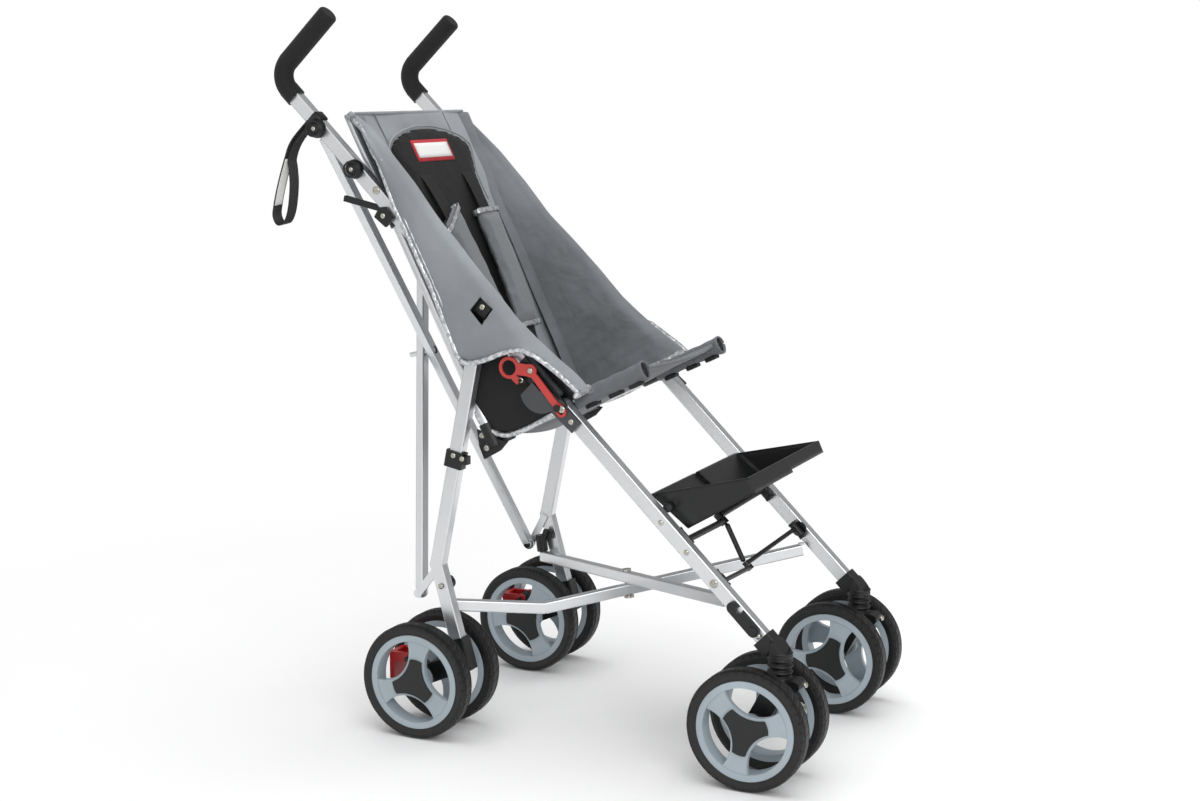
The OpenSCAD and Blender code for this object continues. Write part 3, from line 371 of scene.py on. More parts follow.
# polyamide rim, moulded: cool grey with a satin face
RIM = Finish("polyamide_rim_moulded", "#A3AFB7", 0.38, grain_mm=1.4, bump=0.08, edge_mm=2.0)
# coated polyester, woven: the wings and the band of the back
GREY_CLOTH = Woven("coated_polyester_grey", "#898D91", 0.64, bump=0.12, mottle=0.13, sheen=0.1, crease=0.6)
# the same cloth with painted shade: darker, for the wings' inner faces that lie in shade, and duller; the sleeves,
# seams and seat use it too
SHADED_CLOTH = Woven("coated_polyester_lining", "#696C70", 0.72, bump=0.12, mottle=0.2, sheen=0.1, crease=0.8)
# polyester canvas, woven: the black insert and side panels
BLACK_CLOTH = Woven("polyester_canvas_black", "#0A0A0B", 0.8, bump=0.3, mottle=0.15, sheen=0.05)
# padded lining of the harness
PAD_CLOTH = Woven("brushed_polyester_pad", "#6A6D71", 0.76, bump=0.3, sheen=0.2, thread_mm=1.8)
# nylon webbing, woven flat: ribbed across its length
WEBBING = Woven("nylon_webbing", "#19191B", 0.6, bump=0.6, crease=0.1, thread_mm=3.0)
# plain woven patch
PATCH = Woven("woven_patch", "#D8D8D6", 0.75, bump=0.3, crease=0.05)
# the same in red, as the edge of the back's patch
PATCH_EDGE = Woven("woven_patch_red", "#B02A34", 0.75, bump=0.3, crease=0.05)
# metallised tape round a cord
PIPING = Crinkled("metallised_tape", "#C4C6C9", 0.3, metallic=0.75, grain_mm=7.0, bump=0.5, mottle=0.25)

CAD_FINISHES: dict[str, Finish] = {
    stem: finish
    for finish, stems in (
        (TUBE, "lower_cross_tube rear_leg rear_cross_tube handle_tube back_tube seat_rail front_leg"),
        (NYLON, "rear_joint rear_hub frame_brackets caster_socket caster_fork fold_hook"),
        (NICKEL, "lower_cross_bolt rear_axle front_axle"),
        (ROD, "footrest_arm footrest_link push_bar"),
        (RUBBER, "rear_tyres front_tyres"),
        (RIM, "rear_rims front_rims"),
        (PLATE, "knee_plate"),
        (TRAY, "footrest_half"),
        (FOAM, "handle_grip"),
        (BELLOWS, "spring_boot"),
        (LEVER_RED, "lock_lever"),
        (PEDAL_RED, "brake_pedal"),
    )
    for stem in stems.split()
}

# ---------------------------------------------------------------- places


@dataclass(frozen=True)
class SideFrame:
    """The side frame's own lines, in millimetres as in the part's source."""

    pitch: float = math.radians(44.6)
    knee: tuple[float, float] = (-46.3, 528.0)
    corner: tuple[float, float] = (83.7, 465.0)
    corner_a: float = 48.3
    corner_v: float = 136.1
    back_slope: float = math.radians(63.3)
    rail_rise: float = math.radians(25.9)
    rail_fall: float = 2.82

    def at(self, x: float, a: float, v: float) -> Vector:
        """A point by its X, its distance up the handle line from the knee and below that line, in mm."""
        c, s = math.cos(self.pitch), math.sin(self.pitch)
        return Vector((x, self.knee[0] + a * c + v * s, self.knee[1] + a * s - v * c)) * MM

    def back(self, x: float, up: float, lift: float) -> Vector:
        """A point by its X, its distance up the back and its height in front of it, in mm."""
        c, s = math.cos(self.back_slope), math.sin(self.back_slope)
        return Vector((x, self.corner[0] + up * c - lift * s, self.corner[1] + up * s + lift * c)) * MM

    def seat(self, x: float, out: float, lift: float) -> Vector:
        """A point by its X, its distance forward along the rail and its height above it, in mm."""
        c, s = math.cos(self.rail_rise), math.sin(self.rail_rise)
        return Vector((x, self.corner[0] - out * c + lift * s, self.corner[1] + out * s + lift * c)) * MM

    def back_v(self, a: float) -> float:
        """How far the back tube lies below the handle line, in mm."""
        return self.corner_v - (a - self.corner_a) * math.tan(self.back_slope - self.pitch)

    def rail_v(self, a: float) -> float:
        """How far the seat rail lies below the handle line, in mm."""
        return self.corner_v + (a - self.corner_a) * self.rail_fall

    def back_normal(self) -> Vector:
        """The direction that the back faces."""
        return Vector((0, -math.sin(self.back_slope), math.cos(self.back_slope)))


FRAME = SideFrame()


def lerp_table(table: Table, x: float) -> float:
    """Reads a table of places and values by straight lines."""
    xs, ys = zip(*sorted(table))
    return float(np.interp(x, xs, ys))


def placed(side: Side, x: float, spots: Iterable[tuple[float, float]]) -> list[Vector]:
    """Points of a side at one X from their Y and Z, in mm."""
    return [Vector((side.value * x, y, z)) * MM for y, z in spots]


def on_line(side: Side, x: float, spots: Iterable[tuple[float, float]]) -> list[Vector]:
    """Points of a side at one X from their places along and below the handle line, in mm."""
    return [FRAME.at(side.value * x, a, v) for a, v in spots]


# ---------------------------------------------------------------- mesh tools


def make(name: str, points: Sequence[Vector], faces: Sequence[Sequence[int]], finish: Finish) -> Piece:
    """Makes a smooth mesh piece.

    Args:
        name: The piece's name.
        points: Its points in metres.
        faces: Its faces.
        finish: Its finish.

    Returns:
        The new object.
    """
    mesh = bpy.data.meshes.new(name)
    mesh.from_pydata([tuple(p) for p in points], [], [tuple(f) for f in faces])
    mesh.validate()
    mesh.polygons.foreach_set("use_smooth", [True] * len(mesh.polygons))
    mesh.materials.append(finish.build())
    made = bpy.data.objects.new(name, mesh)
    bpy.context.scene.collection.objects.link(made)
    return made


def attach(piece: Piece, body: str, slot: str) -> None:
    """Lets a piece ride on a body."""
    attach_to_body(piece, body)


def grid(us: Iterable[float], vs: Sequence[float], at: Callable[[float, float], Vector]) -> list[list[Vector]]:
    """Rows of points from a function of two values."""
    return [[at(u, v) for v in vs] for u in us]


def circle(count: int, closed: bool = False) -> list[tuple[float, float]]:
    """Cosines and sines round a circle, with the first again at the end if closed."""
    return [(math.cos(t), math.sin(t)) for t in np.linspace(0, TURN, count, endpoint=closed)]


def grid_faces(rows: int, cols: int, around: bool = False) -> list[tuple[int, ...]]:
    """Quads of a grid of points.

    Args:
        rows: Number of rows.
        cols: Points in a row.
        around: Whether each row is a closed ring.

    Returns:
        The faces.
    """
    wide = cols if around else cols - 1
    return [
        (i * cols + j, i * cols + (j + 1) % cols, (i + 1) * cols + (j + 1) % cols, (i + 1) * cols + j)
        for i in range(rows - 1)
        for j in range(wide)
    ]


def tube_faces(rows: int, sides: int) -> list[tuple[int, ...]]:
    """Faces of a tube of rings with both ends closed."""
    last = (rows - 1) * sides
    return grid_faces(rows, sides, around=True) + [tuple(range(sides))[::-1], tuple(range(last, last + sides))]


def settle(piece: Piece) -> Piece:
    """Applies a piece's modifiers.

    Args:
        piece: The piece.

    Returns:
        The same piece.
    """
    for modifier in piece.modifiers:
        if modifier.type == "SUBSURF":
            modifier.render_levels = modifier.levels
    graph = bpy.context.evaluated_depsgraph_get()
    done = bpy.data.meshes.new_from_object(piece.evaluated_get(graph))
    piece.modifiers.clear()
    piece.data = done
    done.polygons.foreach_set("use_smooth", [True] * len(done.polygons))
    return piece


def sheet_piece(
    name: str,
    rows: list[list[Vector]],
    finish: Finish,
    thick: float,
    levels: int = 1,
    lining: tuple[Finish, int] | None = None,
) -> Piece:
    """Makes a cloth piece with thickness from a grid of points.

    Args:
        name: The piece's name.
        rows: Rows of points of equal length.
        finish: Its finish.
        thick: Its thickness in metres.
        levels: Subdivision levels.
        lining: A second finish and the first column of faces that has it.

    Returns:
        The piece, with its modifiers applied.
    """
    flat = [p for row in rows for p in row]
    made = make(name, flat, grid_faces(len(rows), len(rows[0])), finish)
    if lining:
        made.data.materials.append(lining[0].build())
        for k, face in enumerate(made.data.polygons):
            face.material_index = int(k % (len(rows[0]) - 1) >= lining[1])
    if levels:
        made.modifiers.new("round", "SUBSURF").levels = levels
    solid = made.modifiers.new("thick", "SOLIDIFY")
    solid.thickness, solid.offset = thick, 0.0
    return settle(made)


def smooth_path(path: Sequence[Vector], steps: int) -> list[Vector]:
    """A smooth line through points.

    Args:
        path: The points.
        steps: New points per stretch.

    Returns:
        The finer line.
    """
    pts = [Vector(p) for p in path]
    ends = [pts[0] * 2 - pts[1]] + pts + [pts[-1] * 2 - pts[-2]]
    fine: list[Vector] = []
    for i in range(1, len(ends) - 2):
        a, b, c, d = ends[i - 1 : i + 3]
        for t in (k / steps for k in range(steps)):
            bend = (a * 2 - b * 5 + c * 4 - d) * t**2
            fine.append(((b * 2) + (c - a) * t + bend + (b * 3 - a - c * 3 + d) * t**3) * 0.5)
    return fine + [pts[-1]]


def tube_piece(name: str, path: Sequence[Vector], radius: float, finish: Finish) -> Piece:
    """Makes a round cord along a path with narrowed ends.

    Args:
        name: The piece's name.
        path: Points in metres.
        radius: The cord's radius in metres.
        finish: Its finish.

    Returns:
        The new object.
    """
    spine, sides, narrow = smooth_path(path, 6), 10, 0.35
    last = len(spine) - 1
    points: list[Vector] = []
    side = Vector((1, 0, 0))
    for i, p in enumerate(spine):
        ahead = (spine[min(i + 1, last)] - spine[max(i - 1, 0)]).normalized()
        along = side.dot(ahead)
        side = (side - ahead * along).normalized() if abs(along) < 0.98 else ahead.orthogonal()
        up = ahead.cross(side)
        r = radius * (narrow if i in (0, last) else 1.0)
        points += [p + (side * c + up * s) * r for c, s in circle(sides)]
    return make(name, points, tube_faces(len(spine), sides), finish)


def ribbon_piece(name: str, path: Sequence[Vector], across: Vector, size: tuple, finish: Finish) -> Piece:
    """Makes flat webbing along a path.

    Args:
        name: The piece's name.
        path: Points of its middle line in metres.
        across: The direction of its width.
        size: Its width and thickness in metres.
        finish: Its finish.

    Returns:
        The new object.
    """
    side = across.normalized()
    rows = [[p + side * size[0] * s for s in (-0.5, -0.46, 0.0, 0.46, 0.5)] for p in smooth_path(path, 6)]
    return sheet_piece(name, rows, finish, size[1], 0)


# radius and height of a rivet head's rim, dome and centre mark, as shares of its own
DOME = ((1.0, 0.0), (1.0, 0.22), (0.93, 0.42), (0.7, 0.78), (0.42, 0.97), (0.24, 1.0), (0.2, 0.86), (0.0, 0.84))


def dome_piece(name: str, centre: Vector, out: Vector, radius: float, high: float, finish: Finish) -> Piece:
    """Makes a rivet head: a rim, a low dome and a small centre mark.

    Args:
        name: The piece's name.
        centre: The middle of its seat in metres.
        out: The direction that it faces.
        radius: Its radius in mm.
        high: Its height in mm.
        finish: Its finish.

    Returns:
        The new object.
    """
    turn, sides = out.to_track_quat("Z", "Y").to_matrix(), 20
    wide, tall, ring = radius * MM, high * MM, circle(sides)
    points = [centre + turn @ Vector((r * wide * c, r * wide * s, h * tall)) for r, h in DOME for c, s in ring]
    return make(name, points, grid_faces(len(DOME), sides, around=True) + [tuple(range(sides))[::-1]], finish)


def rivet(name: str, centre: Vector, out: Vector, radius: float, high: float, body: str) -> None:
    """Sets a nickel head on a body; its radius and height are in mm."""
    attach(dome_piece(name, centre, out, radius, high, NICKEL), body, "axle_steel")


def prism_piece(name: str, outline: Sequence[Vector], depth: Vector, finish: Finish) -> Piece:
    """Makes a plate with softened edges from a flat outline.

    Args:
        name: The piece's name.
        outline: Points in metres, in order.
        depth: The way and distance from one face to the other.
        finish: Its finish.

    Returns:
        The new object.
    """
    n = len(outline)
    points = list(outline) + [p + depth for p in outline]
    faces = [tuple(range(n))[::-1], tuple(range(n, 2 * n))]
    faces += [(i, (i + 1) % n, n + (i + 1) % n, n + i) for i in range(n)]
    made = make(name, points, faces, finish)
    soft = made.modifiers.new("edge", "BEVEL")
    soft.width, soft.segments, soft.limit_method = 1.2 * MM, 2, "ANGLE"
    settle(made)
    made.data.polygons.foreach_set("use_smooth", [False] * len(made.data.polygons))
    return made


def inflate(piece: Piece, voxel: float, pressure: float, cap: float) -> Piece:
    """Swells a closed piece like stuffed cloth and applies the result.

    Args:
        piece: A closed mesh.
        voxel: Remesh size in metres.
        pressure: Cloth pressure.
        cap: The furthest that a point may move, in metres.

    Returns:
        The same piece.
    """
    frames = 20
    remesh = piece.modifiers.new("even", "REMESH")
    remesh.mode, remesh.voxel_size = "VOXEL", voxel
    settle(piece)
    rest = np.array([v.co for v in piece.data.vertices])
    cloth = piece.modifiers.new("swell", "CLOTH")
    cloth.settings.use_pressure = True
    cloth.settings.uniform_pressure_force = pressure
    cloth.settings.effector_weights.gravity = 0.0
    cloth.settings.quality = 5
    cloth.point_cache.frame_end = frames
    scene = bpy.context.scene
    for frame in range(1, frames + 1):
        scene.frame_set(frame)
    graph = bpy.context.evaluated_depsgraph_get()
    swollen = np.array([v.co for v in piece.evaluated_get(graph).data.vertices])
    piece.modifiers.clear()
    scene.frame_set(1)
    move = swollen - rest
    far = np.linalg.norm(move, axis=1, keepdims=True)
    new = rest + move * np.minimum(1.0, cap / np.maximum(far, 1e-9))
    piece.data.vertices.foreach_set("co", new.ravel())
    piece.modifiers.new("round", "SUBSURF").levels = 1
    return settle(piece)


def ripple(p: Vector, size: float, amount: float, seed: float) -> float:
    """A smooth repeatable ripple for cloth.

    Args:
        p: The place in metres.
        size: The ripple's length in metres.
        amount: Its height in metres.
        seed: An offset that makes another ripple.

    Returns:
        The height in metres.
    """
    q = p / size
    return amount * (
        0.5 * math.sin(q.x * 3.1 + q.y * 4.7 + q.z * 1.9 + seed)
        + 0.3 * math.sin(q.y * 7.3 - q.z * 5.1 + seed * 2.3)
        + 0.2 * math.sin(q.z * 11.9 + q.x * 6.1 - seed)
    )


# ---------------------------------------------------------------- sub-assemblies


@dataclass
class Studio:
    """Camera, floor and soft light."""

    azimuth: float = -65.21
    elevation: float = 9.44
    place: tuple[float, float, float] = (-2.6730, -1.2528, 0.9954)
    lens: float = 56.88
    floor_half: float = 9.0
    fade: tuple[float, float] = (0.55, 1.7)

    def build(self) -> None:
        """Sets up the whole studio."""
        self.camera()
        self.floor()
        self.lights()
        self.world()
        bpy.context.scene.view_settings.view_transform = "Standard"

    def camera(self) -> None:
        """Puts the camera at the photograph's view."""
        az, el = math.radians(self.azimuth), math.radians(self.elevation)
        back = Vector((math.sin(az) * math.cos(el), -math.cos(az) * math.cos(el), math.sin(el)))
        right = Vector((0, 0, 1)).cross(back).normalized()
        up = back.cross(right)
        data = bpy.data.cameras.new("camera")
        data.lens, data.sensor_width, data.sensor_fit = self.lens, 36.0, "HORIZONTAL"
        made = bpy.data.objects.new("camera", data)
        bpy.context.scene.collection.objects.link(made)
        made.matrix_world = Matrix.Translation(self.place) @ Matrix((right, up, back)).transposed().to_4x4()
        bpy.context.scene.camera = made

    def floor(self) -> None:
        """Lays a pale floor that fades into a white backdrop."""
        h = self.floor_half
        mesh = bpy.data.meshes.new("floor")
        mesh.from_pydata([(-h, -h, 0), (h, -h, 0), (h, h, 0), (-h, h, 0)], [], [(0, 1, 2, 3)])
        made = bpy.data.objects.new("floor", mesh)
        bpy.context.scene.collection.objects.link(made)
        paint = bpy.data.materials.new("pale_floor")
        paint.use_nodes = True
        tree = paint.node_tree
        tree.nodes.clear()
        place = add_node(tree, "TexCoord").outputs["Object"]
        far = add_node(tree, "VectorMath", {0: place}, operation="LENGTH").outputs["Value"]
        fade = remap(tree, far, self.fade, kind="SMOOTHSTEP")
        tone = remap(tree, noise(tree, place, 3.0), (0.0, 1.0), (0.93, 0.96))
        matte = add_node(tree, "BsdfDiffuse", {"Color": tone}).outputs[0]
        glow = add_node(tree, "Emission", {"Color": WHITE, "Strength": 1.0}).outputs[0]
        share = calc(tree, "MULTIPLY", fade, add_node(tree, "LightPath").outputs["Is Camera Ray"])
        mix = add_node(tree, "MixShader", {0: share, 1: matte, 2: glow}).outputs[0]
        add_node(tree, "OutputMaterial", {"Surface": mix})
        mesh.materials.append(paint)
        made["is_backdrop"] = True

    def lights(self) -> None:
        """Hangs three soft panels; only the front one is mirrored in the tubes."""
        target = Vector((0, 0, 0.5))
        for name, spot, size, power in (
            ("panel_over", (0.0, 0.0, 3.0), 3.2, 62.0),
            ("panel_front", (-2.6, -2.2, 2.2), 2.2, 42.0),
            ("panel_side", (2.8, -1.4, 1.8), 2.0, 20.0),
        ):
            lamp = bpy.data.lights.new(name, "AREA")
            lamp.shape, lamp.size, lamp.energy = "SQUARE", size, power
            made = bpy.data.objects.new(name, lamp)
            made.visible_glossy = name == "panel_front"
            made.location = spot
            made.rotation_euler = (target - Vector(spot)).to_track_quat("-Z", "Y").to_euler()
            bpy.context.scene.collection.objects.link(made)

    def world(self) -> None:
        """Makes a pale room, darker and lit from the right for mirror rays, so that tubes keep a dark side."""
        world = bpy.data.worlds.new("pale_room")
        world.use_nodes = True
        tree, base = world.node_tree, 0.5
        tree.nodes.clear()
        seen = add_node(tree, "LightPath").outputs
        place = add_node(tree, "TexCoord").outputs["Generated"]
        across = add_node(tree, "SeparateXYZ", {"Vector": place}).outputs["X"]
        right = remap(tree, across, (0.3, -0.7), (-0.15, 0.45), "SMOOTHSTEP")
        shine = calc(tree, "MULTIPLY_ADD", seen["Is Glossy Ray"], right, base)
        level = calc(tree, "MULTIPLY_ADD", seen["Is Camera Ray"], 1 - base, shine)
        sky = add_node(tree, "Background", {"Color": WHITE, "Strength": level}).outputs[0]
        add_node(tree, "OutputWorld", {"Surface": sky})
        bpy.context.scene.world = world


@dataclass
class FrameDress:
    """Finishes of the carried-over frame nodes."""

    nodes: dict[str, Piece]
    strap_x: tuple[float, float] = (0.176, 0.1815)
    strap_z: tuple[float, float] = (0.19, 0.3)
    cap_deep: float = 2.9
    cap_reach: float = 37.0

    def build(self) -> None:
        """Gives each node its finish, and its second one where it has two."""
        for name, node in self.nodes.items():
            stem = name.replace("_right", "").replace("_left", "")
            finish = CAD_FINISHES.get(stem)
            if finish is None:
                continue
            node.data.materials.clear()
            node.data.materials.append(finish.build())
            if "rims" in stem:
                self.caps(node)
            elif "tyres" in stem:
                self.tread(node)
            elif stem == "rear_hub":
                self.strap(node)
            LOG.info("%s: %s", name, finish.name)

    def tread(self, node: Piece) -> None:
        """Gives a tyre pair grooves round its own axle.

        Args:
            node: The tyres' object.
        """
        low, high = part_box(node.name)
        centre = (low + high) / 2
        own = replace(RUBBER, name=f"{RUBBER.name}_{node.name}", axle=(centre.y, centre.z))
        node.data.materials[0] = own.build()

    def strap(self, node: Piece) -> None:
        """Paints a hub's pressed strap, which carries the rear cross, like the legs.

        Args:
            node: The hub's object.
        """
        node.data.materials.append(TUBE.build())
        (x0, x1), (z0, z1) = self.strap_x, self.strap_z
        for face in node.data.polygons:
            if x0 < abs(face.center.x) < x1 and z0 < face.center.z < z1:
                face.material_index = 1

    def caps(self, node: Piece) -> None:
        """Paints the three-lobed caps of a rim pair black.

        Args:
            node: The rims' object.
        """
        node.data.materials.append(NYLON.build())
        low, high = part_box(node.name)
        centre = (low + high) / 2
        edge = (high.x - low.x) / 2 - self.cap_deep * MM
        for face in node.data.polygons:
            c = face.center - centre
            if abs(c.x) > edge and math.hypot(c.y, c.z) < self.cap_reach * MM:
                face.material_index = 1


@dataclass
class Wing:
    """Padded side wing: a pouch of cloth over the handle tube, with a lining to back tube and seat rail.

    Its tables give places along the handle line with heights below it or distances from the middle, in mm.
    """

    side: Side
    top: float = 562.0
    crest: Table = (
        (562, -46), (524, -56), (477, -62), (401, -57), (331, -47), (198, -42), (142, -36), (101, -37),
        (59, -40), (18, -47), (-11, -47),
    )
    hem: Table = (
        (562, -38), (524, -50), (462, -43), (381, -10), (276, 25), (176, 61), (161, 66), (146, 60), (132, 44),
        (118, 10), (102, -18), (81, -31), (59, -36), (18, -43), (-11, -45),
    )
    front_seam: Table = ((-11, -40), (4, -34), (8, -17), (27, 25), (45, 75), (62, 125))
    slack: Table = ((-11, 0), (142, 8), (331, 17), (477, 24), (524, 16), (562, 4))
    # the outer face goes out past the lever at the front
    outer: Table = (
        (-11, 209.0), (45, 210.0), (85, 216.5), (140, 216.5), (230, 209.5), (470, 208.5), (530, 190.0),
        (562, 176.0),
    )
    inner: Table = ((60, 170.0), (130, 174.0), (210, 184.0), (470, 184.0), (562, 168.0))
    fold_rise: float = 8.0
    seam_x: float = 157.0
    # distance from the middle and places along and below the handle line, in mm
    snap: tuple[float, float, float] = (217, 165, 47)
    bolt: tuple[float, float, float] = (209, 189, -15)
    window_x: float = 203.5
    plate_x: float = 205.0
    window_edge: Table = ((167, 1), (172, -29), (200, -26), (197, 0))
    plate_edge: Table = ((174, -4), (176, -25), (206, -24), (204, 3))

    @property
    def low(self) -> float:
        """The front end along the handle line; the left wing has slipped a little up its tube, in mm."""
        return -9.0 if self.side is Side.RIGHT else 2.0

    def hem_v(self, a: float) -> float:
        """Height of the outer hem, in mm below the handle line."""
        return lerp_table(self.hem, a) + self.slump(a)

    def crest_v(self, a: float) -> float:
        """Height of the fold over the tube, in mm below the handle line."""
        return lerp_table(self.crest, a) + self.slump(a)

    def slump(self, a: float) -> float:
        """How far the left wing has slumped, in mm."""
        return lerp_table(self.slack, a) if self.side is Side.LEFT else 0.0

    def seam_v(self, a: float) -> float:
        """Height of the lining's lower edge, in mm below the handle line."""
        free = lerp_table(self.front_seam, a) if a < self.front_seam[-1][0] else FRAME.rail_v(a) - 11
        return max(min(FRAME.back_v(a) - 3, free), self.crest_v(a) + 9)

    def section(self, a: float) -> list[tuple[float, float]]:
        """The wing's section, from the hem over the fold to the inner seam.

        Args:
            a: Place along the handle line, in mm.

        Returns:
            Distances from the middle and below the handle line, in mm.
        """
        hem, brow, seam = self.hem_v(a), self.crest_v(a) + self.fold_rise, self.seam_v(a)
        outer, inner = lerp_table(self.outer, a), lerp_table(self.inner, a)
        half, middle = (outer - inner) / 2, (outer + inner) / 2
        face = [
            (outer + 4.5 * math.sin(math.pi * min(1, t * 1.05)) ** 0.8, hem + (brow - hem) * t)
            for t in np.linspace(0, 1, 9)[:-1]
        ]
        arch = np.linspace(0, math.pi, 6)
        fold = [(middle + half * math.cos(t), brow - self.fold_rise * math.sin(t)) for t in arch]
        down = np.linspace(0, 1, 10)[1:]
        return face + fold + [(inner - (inner - self.seam_x) * t**0.7, brow + (seam - brow) * t) for t in down]

    def rows(self) -> list[list[Vector]]:
        """Rows of points of the rippled cloth, one for each place along the handle line."""
        s, seed, fold_end, lining = self.side.value, 1.3 if self.side is Side.RIGHT else 4.1, 13, 9
        rows = []
        for a in np.linspace(self.top, self.low, 60):
            line = []
            for k, (x, v) in enumerate(self.section(a)):
                p = FRAME.at(s * x, a, v)
                p.x += s * ripple(p, 0.16, 3.2 * MM, seed)
                if k > fold_end:
                    p.x += s * self.tuck(a, (k - fold_end) / lining)
                line.append(p)
            rows.append(line)
        return rows

    def tuck(self, a: float, depth: float) -> float:
        """Height in metres of the slack lining's slanting creases, by place in mm and share of its depth."""
        slack = math.exp(-(((a - 90) / 110) ** 2)) * math.sin(math.pi * depth)
        return slack * (3.0 * math.sin(a * 0.13 + depth * 7) + 2.0 * math.sin(a * 0.29 - depth * 5)) * MM

    def build(self) -> None:
        """Builds the wing with its window, piping and snap."""
        name, body = f"wing_{self.side.word}", f"handle_{self.side.word}"
        s, rows, clear = self.side.value, self.rows(), self.side.out * 4.5 * MM
        # the inner faces take the darker cloth as painted shade; on the left wing, further from the front lamp, it
        # starts earlier and shades part of the fold too
        lining = (SHADED_CLOTH, 12 if self.side is Side.RIGHT else 8)
        wing = sheet_piece(name, rows, GREY_CLOTH, 3.2 * MM, lining=lining)
        self.window(wing, body)
        attach(wing, body, "wing_fabric")
        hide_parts(f"side_cloth_{self.side.word}")
        back = [row[0] for row in rows[1:43]]
        foot = [row[0] for row in rows[42:]] + rows[-1][2::3] + [row[-1] for row in rows[:-8:-1]]
        # the piping of the foot stands out past the pulled lever
        foot = [p + clear if abs(p.x) > 0.205 else p for p in foot]
        stitch = [
            FRAME.at(s * (lerp_table(self.outer, a) + 3.4), a, self.hem_v(a) - 9) for a in np.linspace(460, 170, 22)
        ]
        for part, line, r in (("back", back, 4.4), ("foot", foot, 4.2), ("stitch", stitch, 1.3)):
            attach(tube_piece(f"{name}_piping_{part}", line, r * MM, PIPING), body, "wing_fabric")
        rivet(f"{name}_snap", FRAME.at(s * self.snap[0], *self.snap[1:]), self.side.out, 7, 3, body)
        LOG.info("%s with piping", name)

    def window(self, wing: Piece, body: str) -> None:
        """Cuts the small opening over the bracket into the outer face, and sets a bolted plate behind it.

        Args:
            wing: The wing.
            body: The body that the plate rides on.
        """
        out, word = self.side.out, self.side.word
        edge = on_line(self.side, self.window_x, self.window_edge)
        cutter = prism_piece("window_cutter", edge, out * 22 * MM, GREY_CLOTH)
        shape = bmesh.new()
        shape.from_mesh(cutter.data)
        bmesh.ops.recalc_face_normals(shape, faces=shape.faces)
        shape.to_mesh(cutter.data)
        shape.free()
        cut = wing.modifiers.new("window", "BOOLEAN")
        cut.operation, cut.object, cut.solver = "DIFFERENCE", cutter, "EXACT"
        settle(wing)
        bpy.data.objects.remove(cutter)
        plate = on_line(self.side, self.plate_x, self.plate_edge)
        attach(prism_piece(f"window_plate_{word}", plate, out * 4 * MM, NYLON), body, "black_plastic")
        bolt = FRAME.at(self.side.value * self.bolt[0], *self.bolt[1:])
        rivet(f"window_bolt_{word}", bolt, out, 5.5, 3, body)


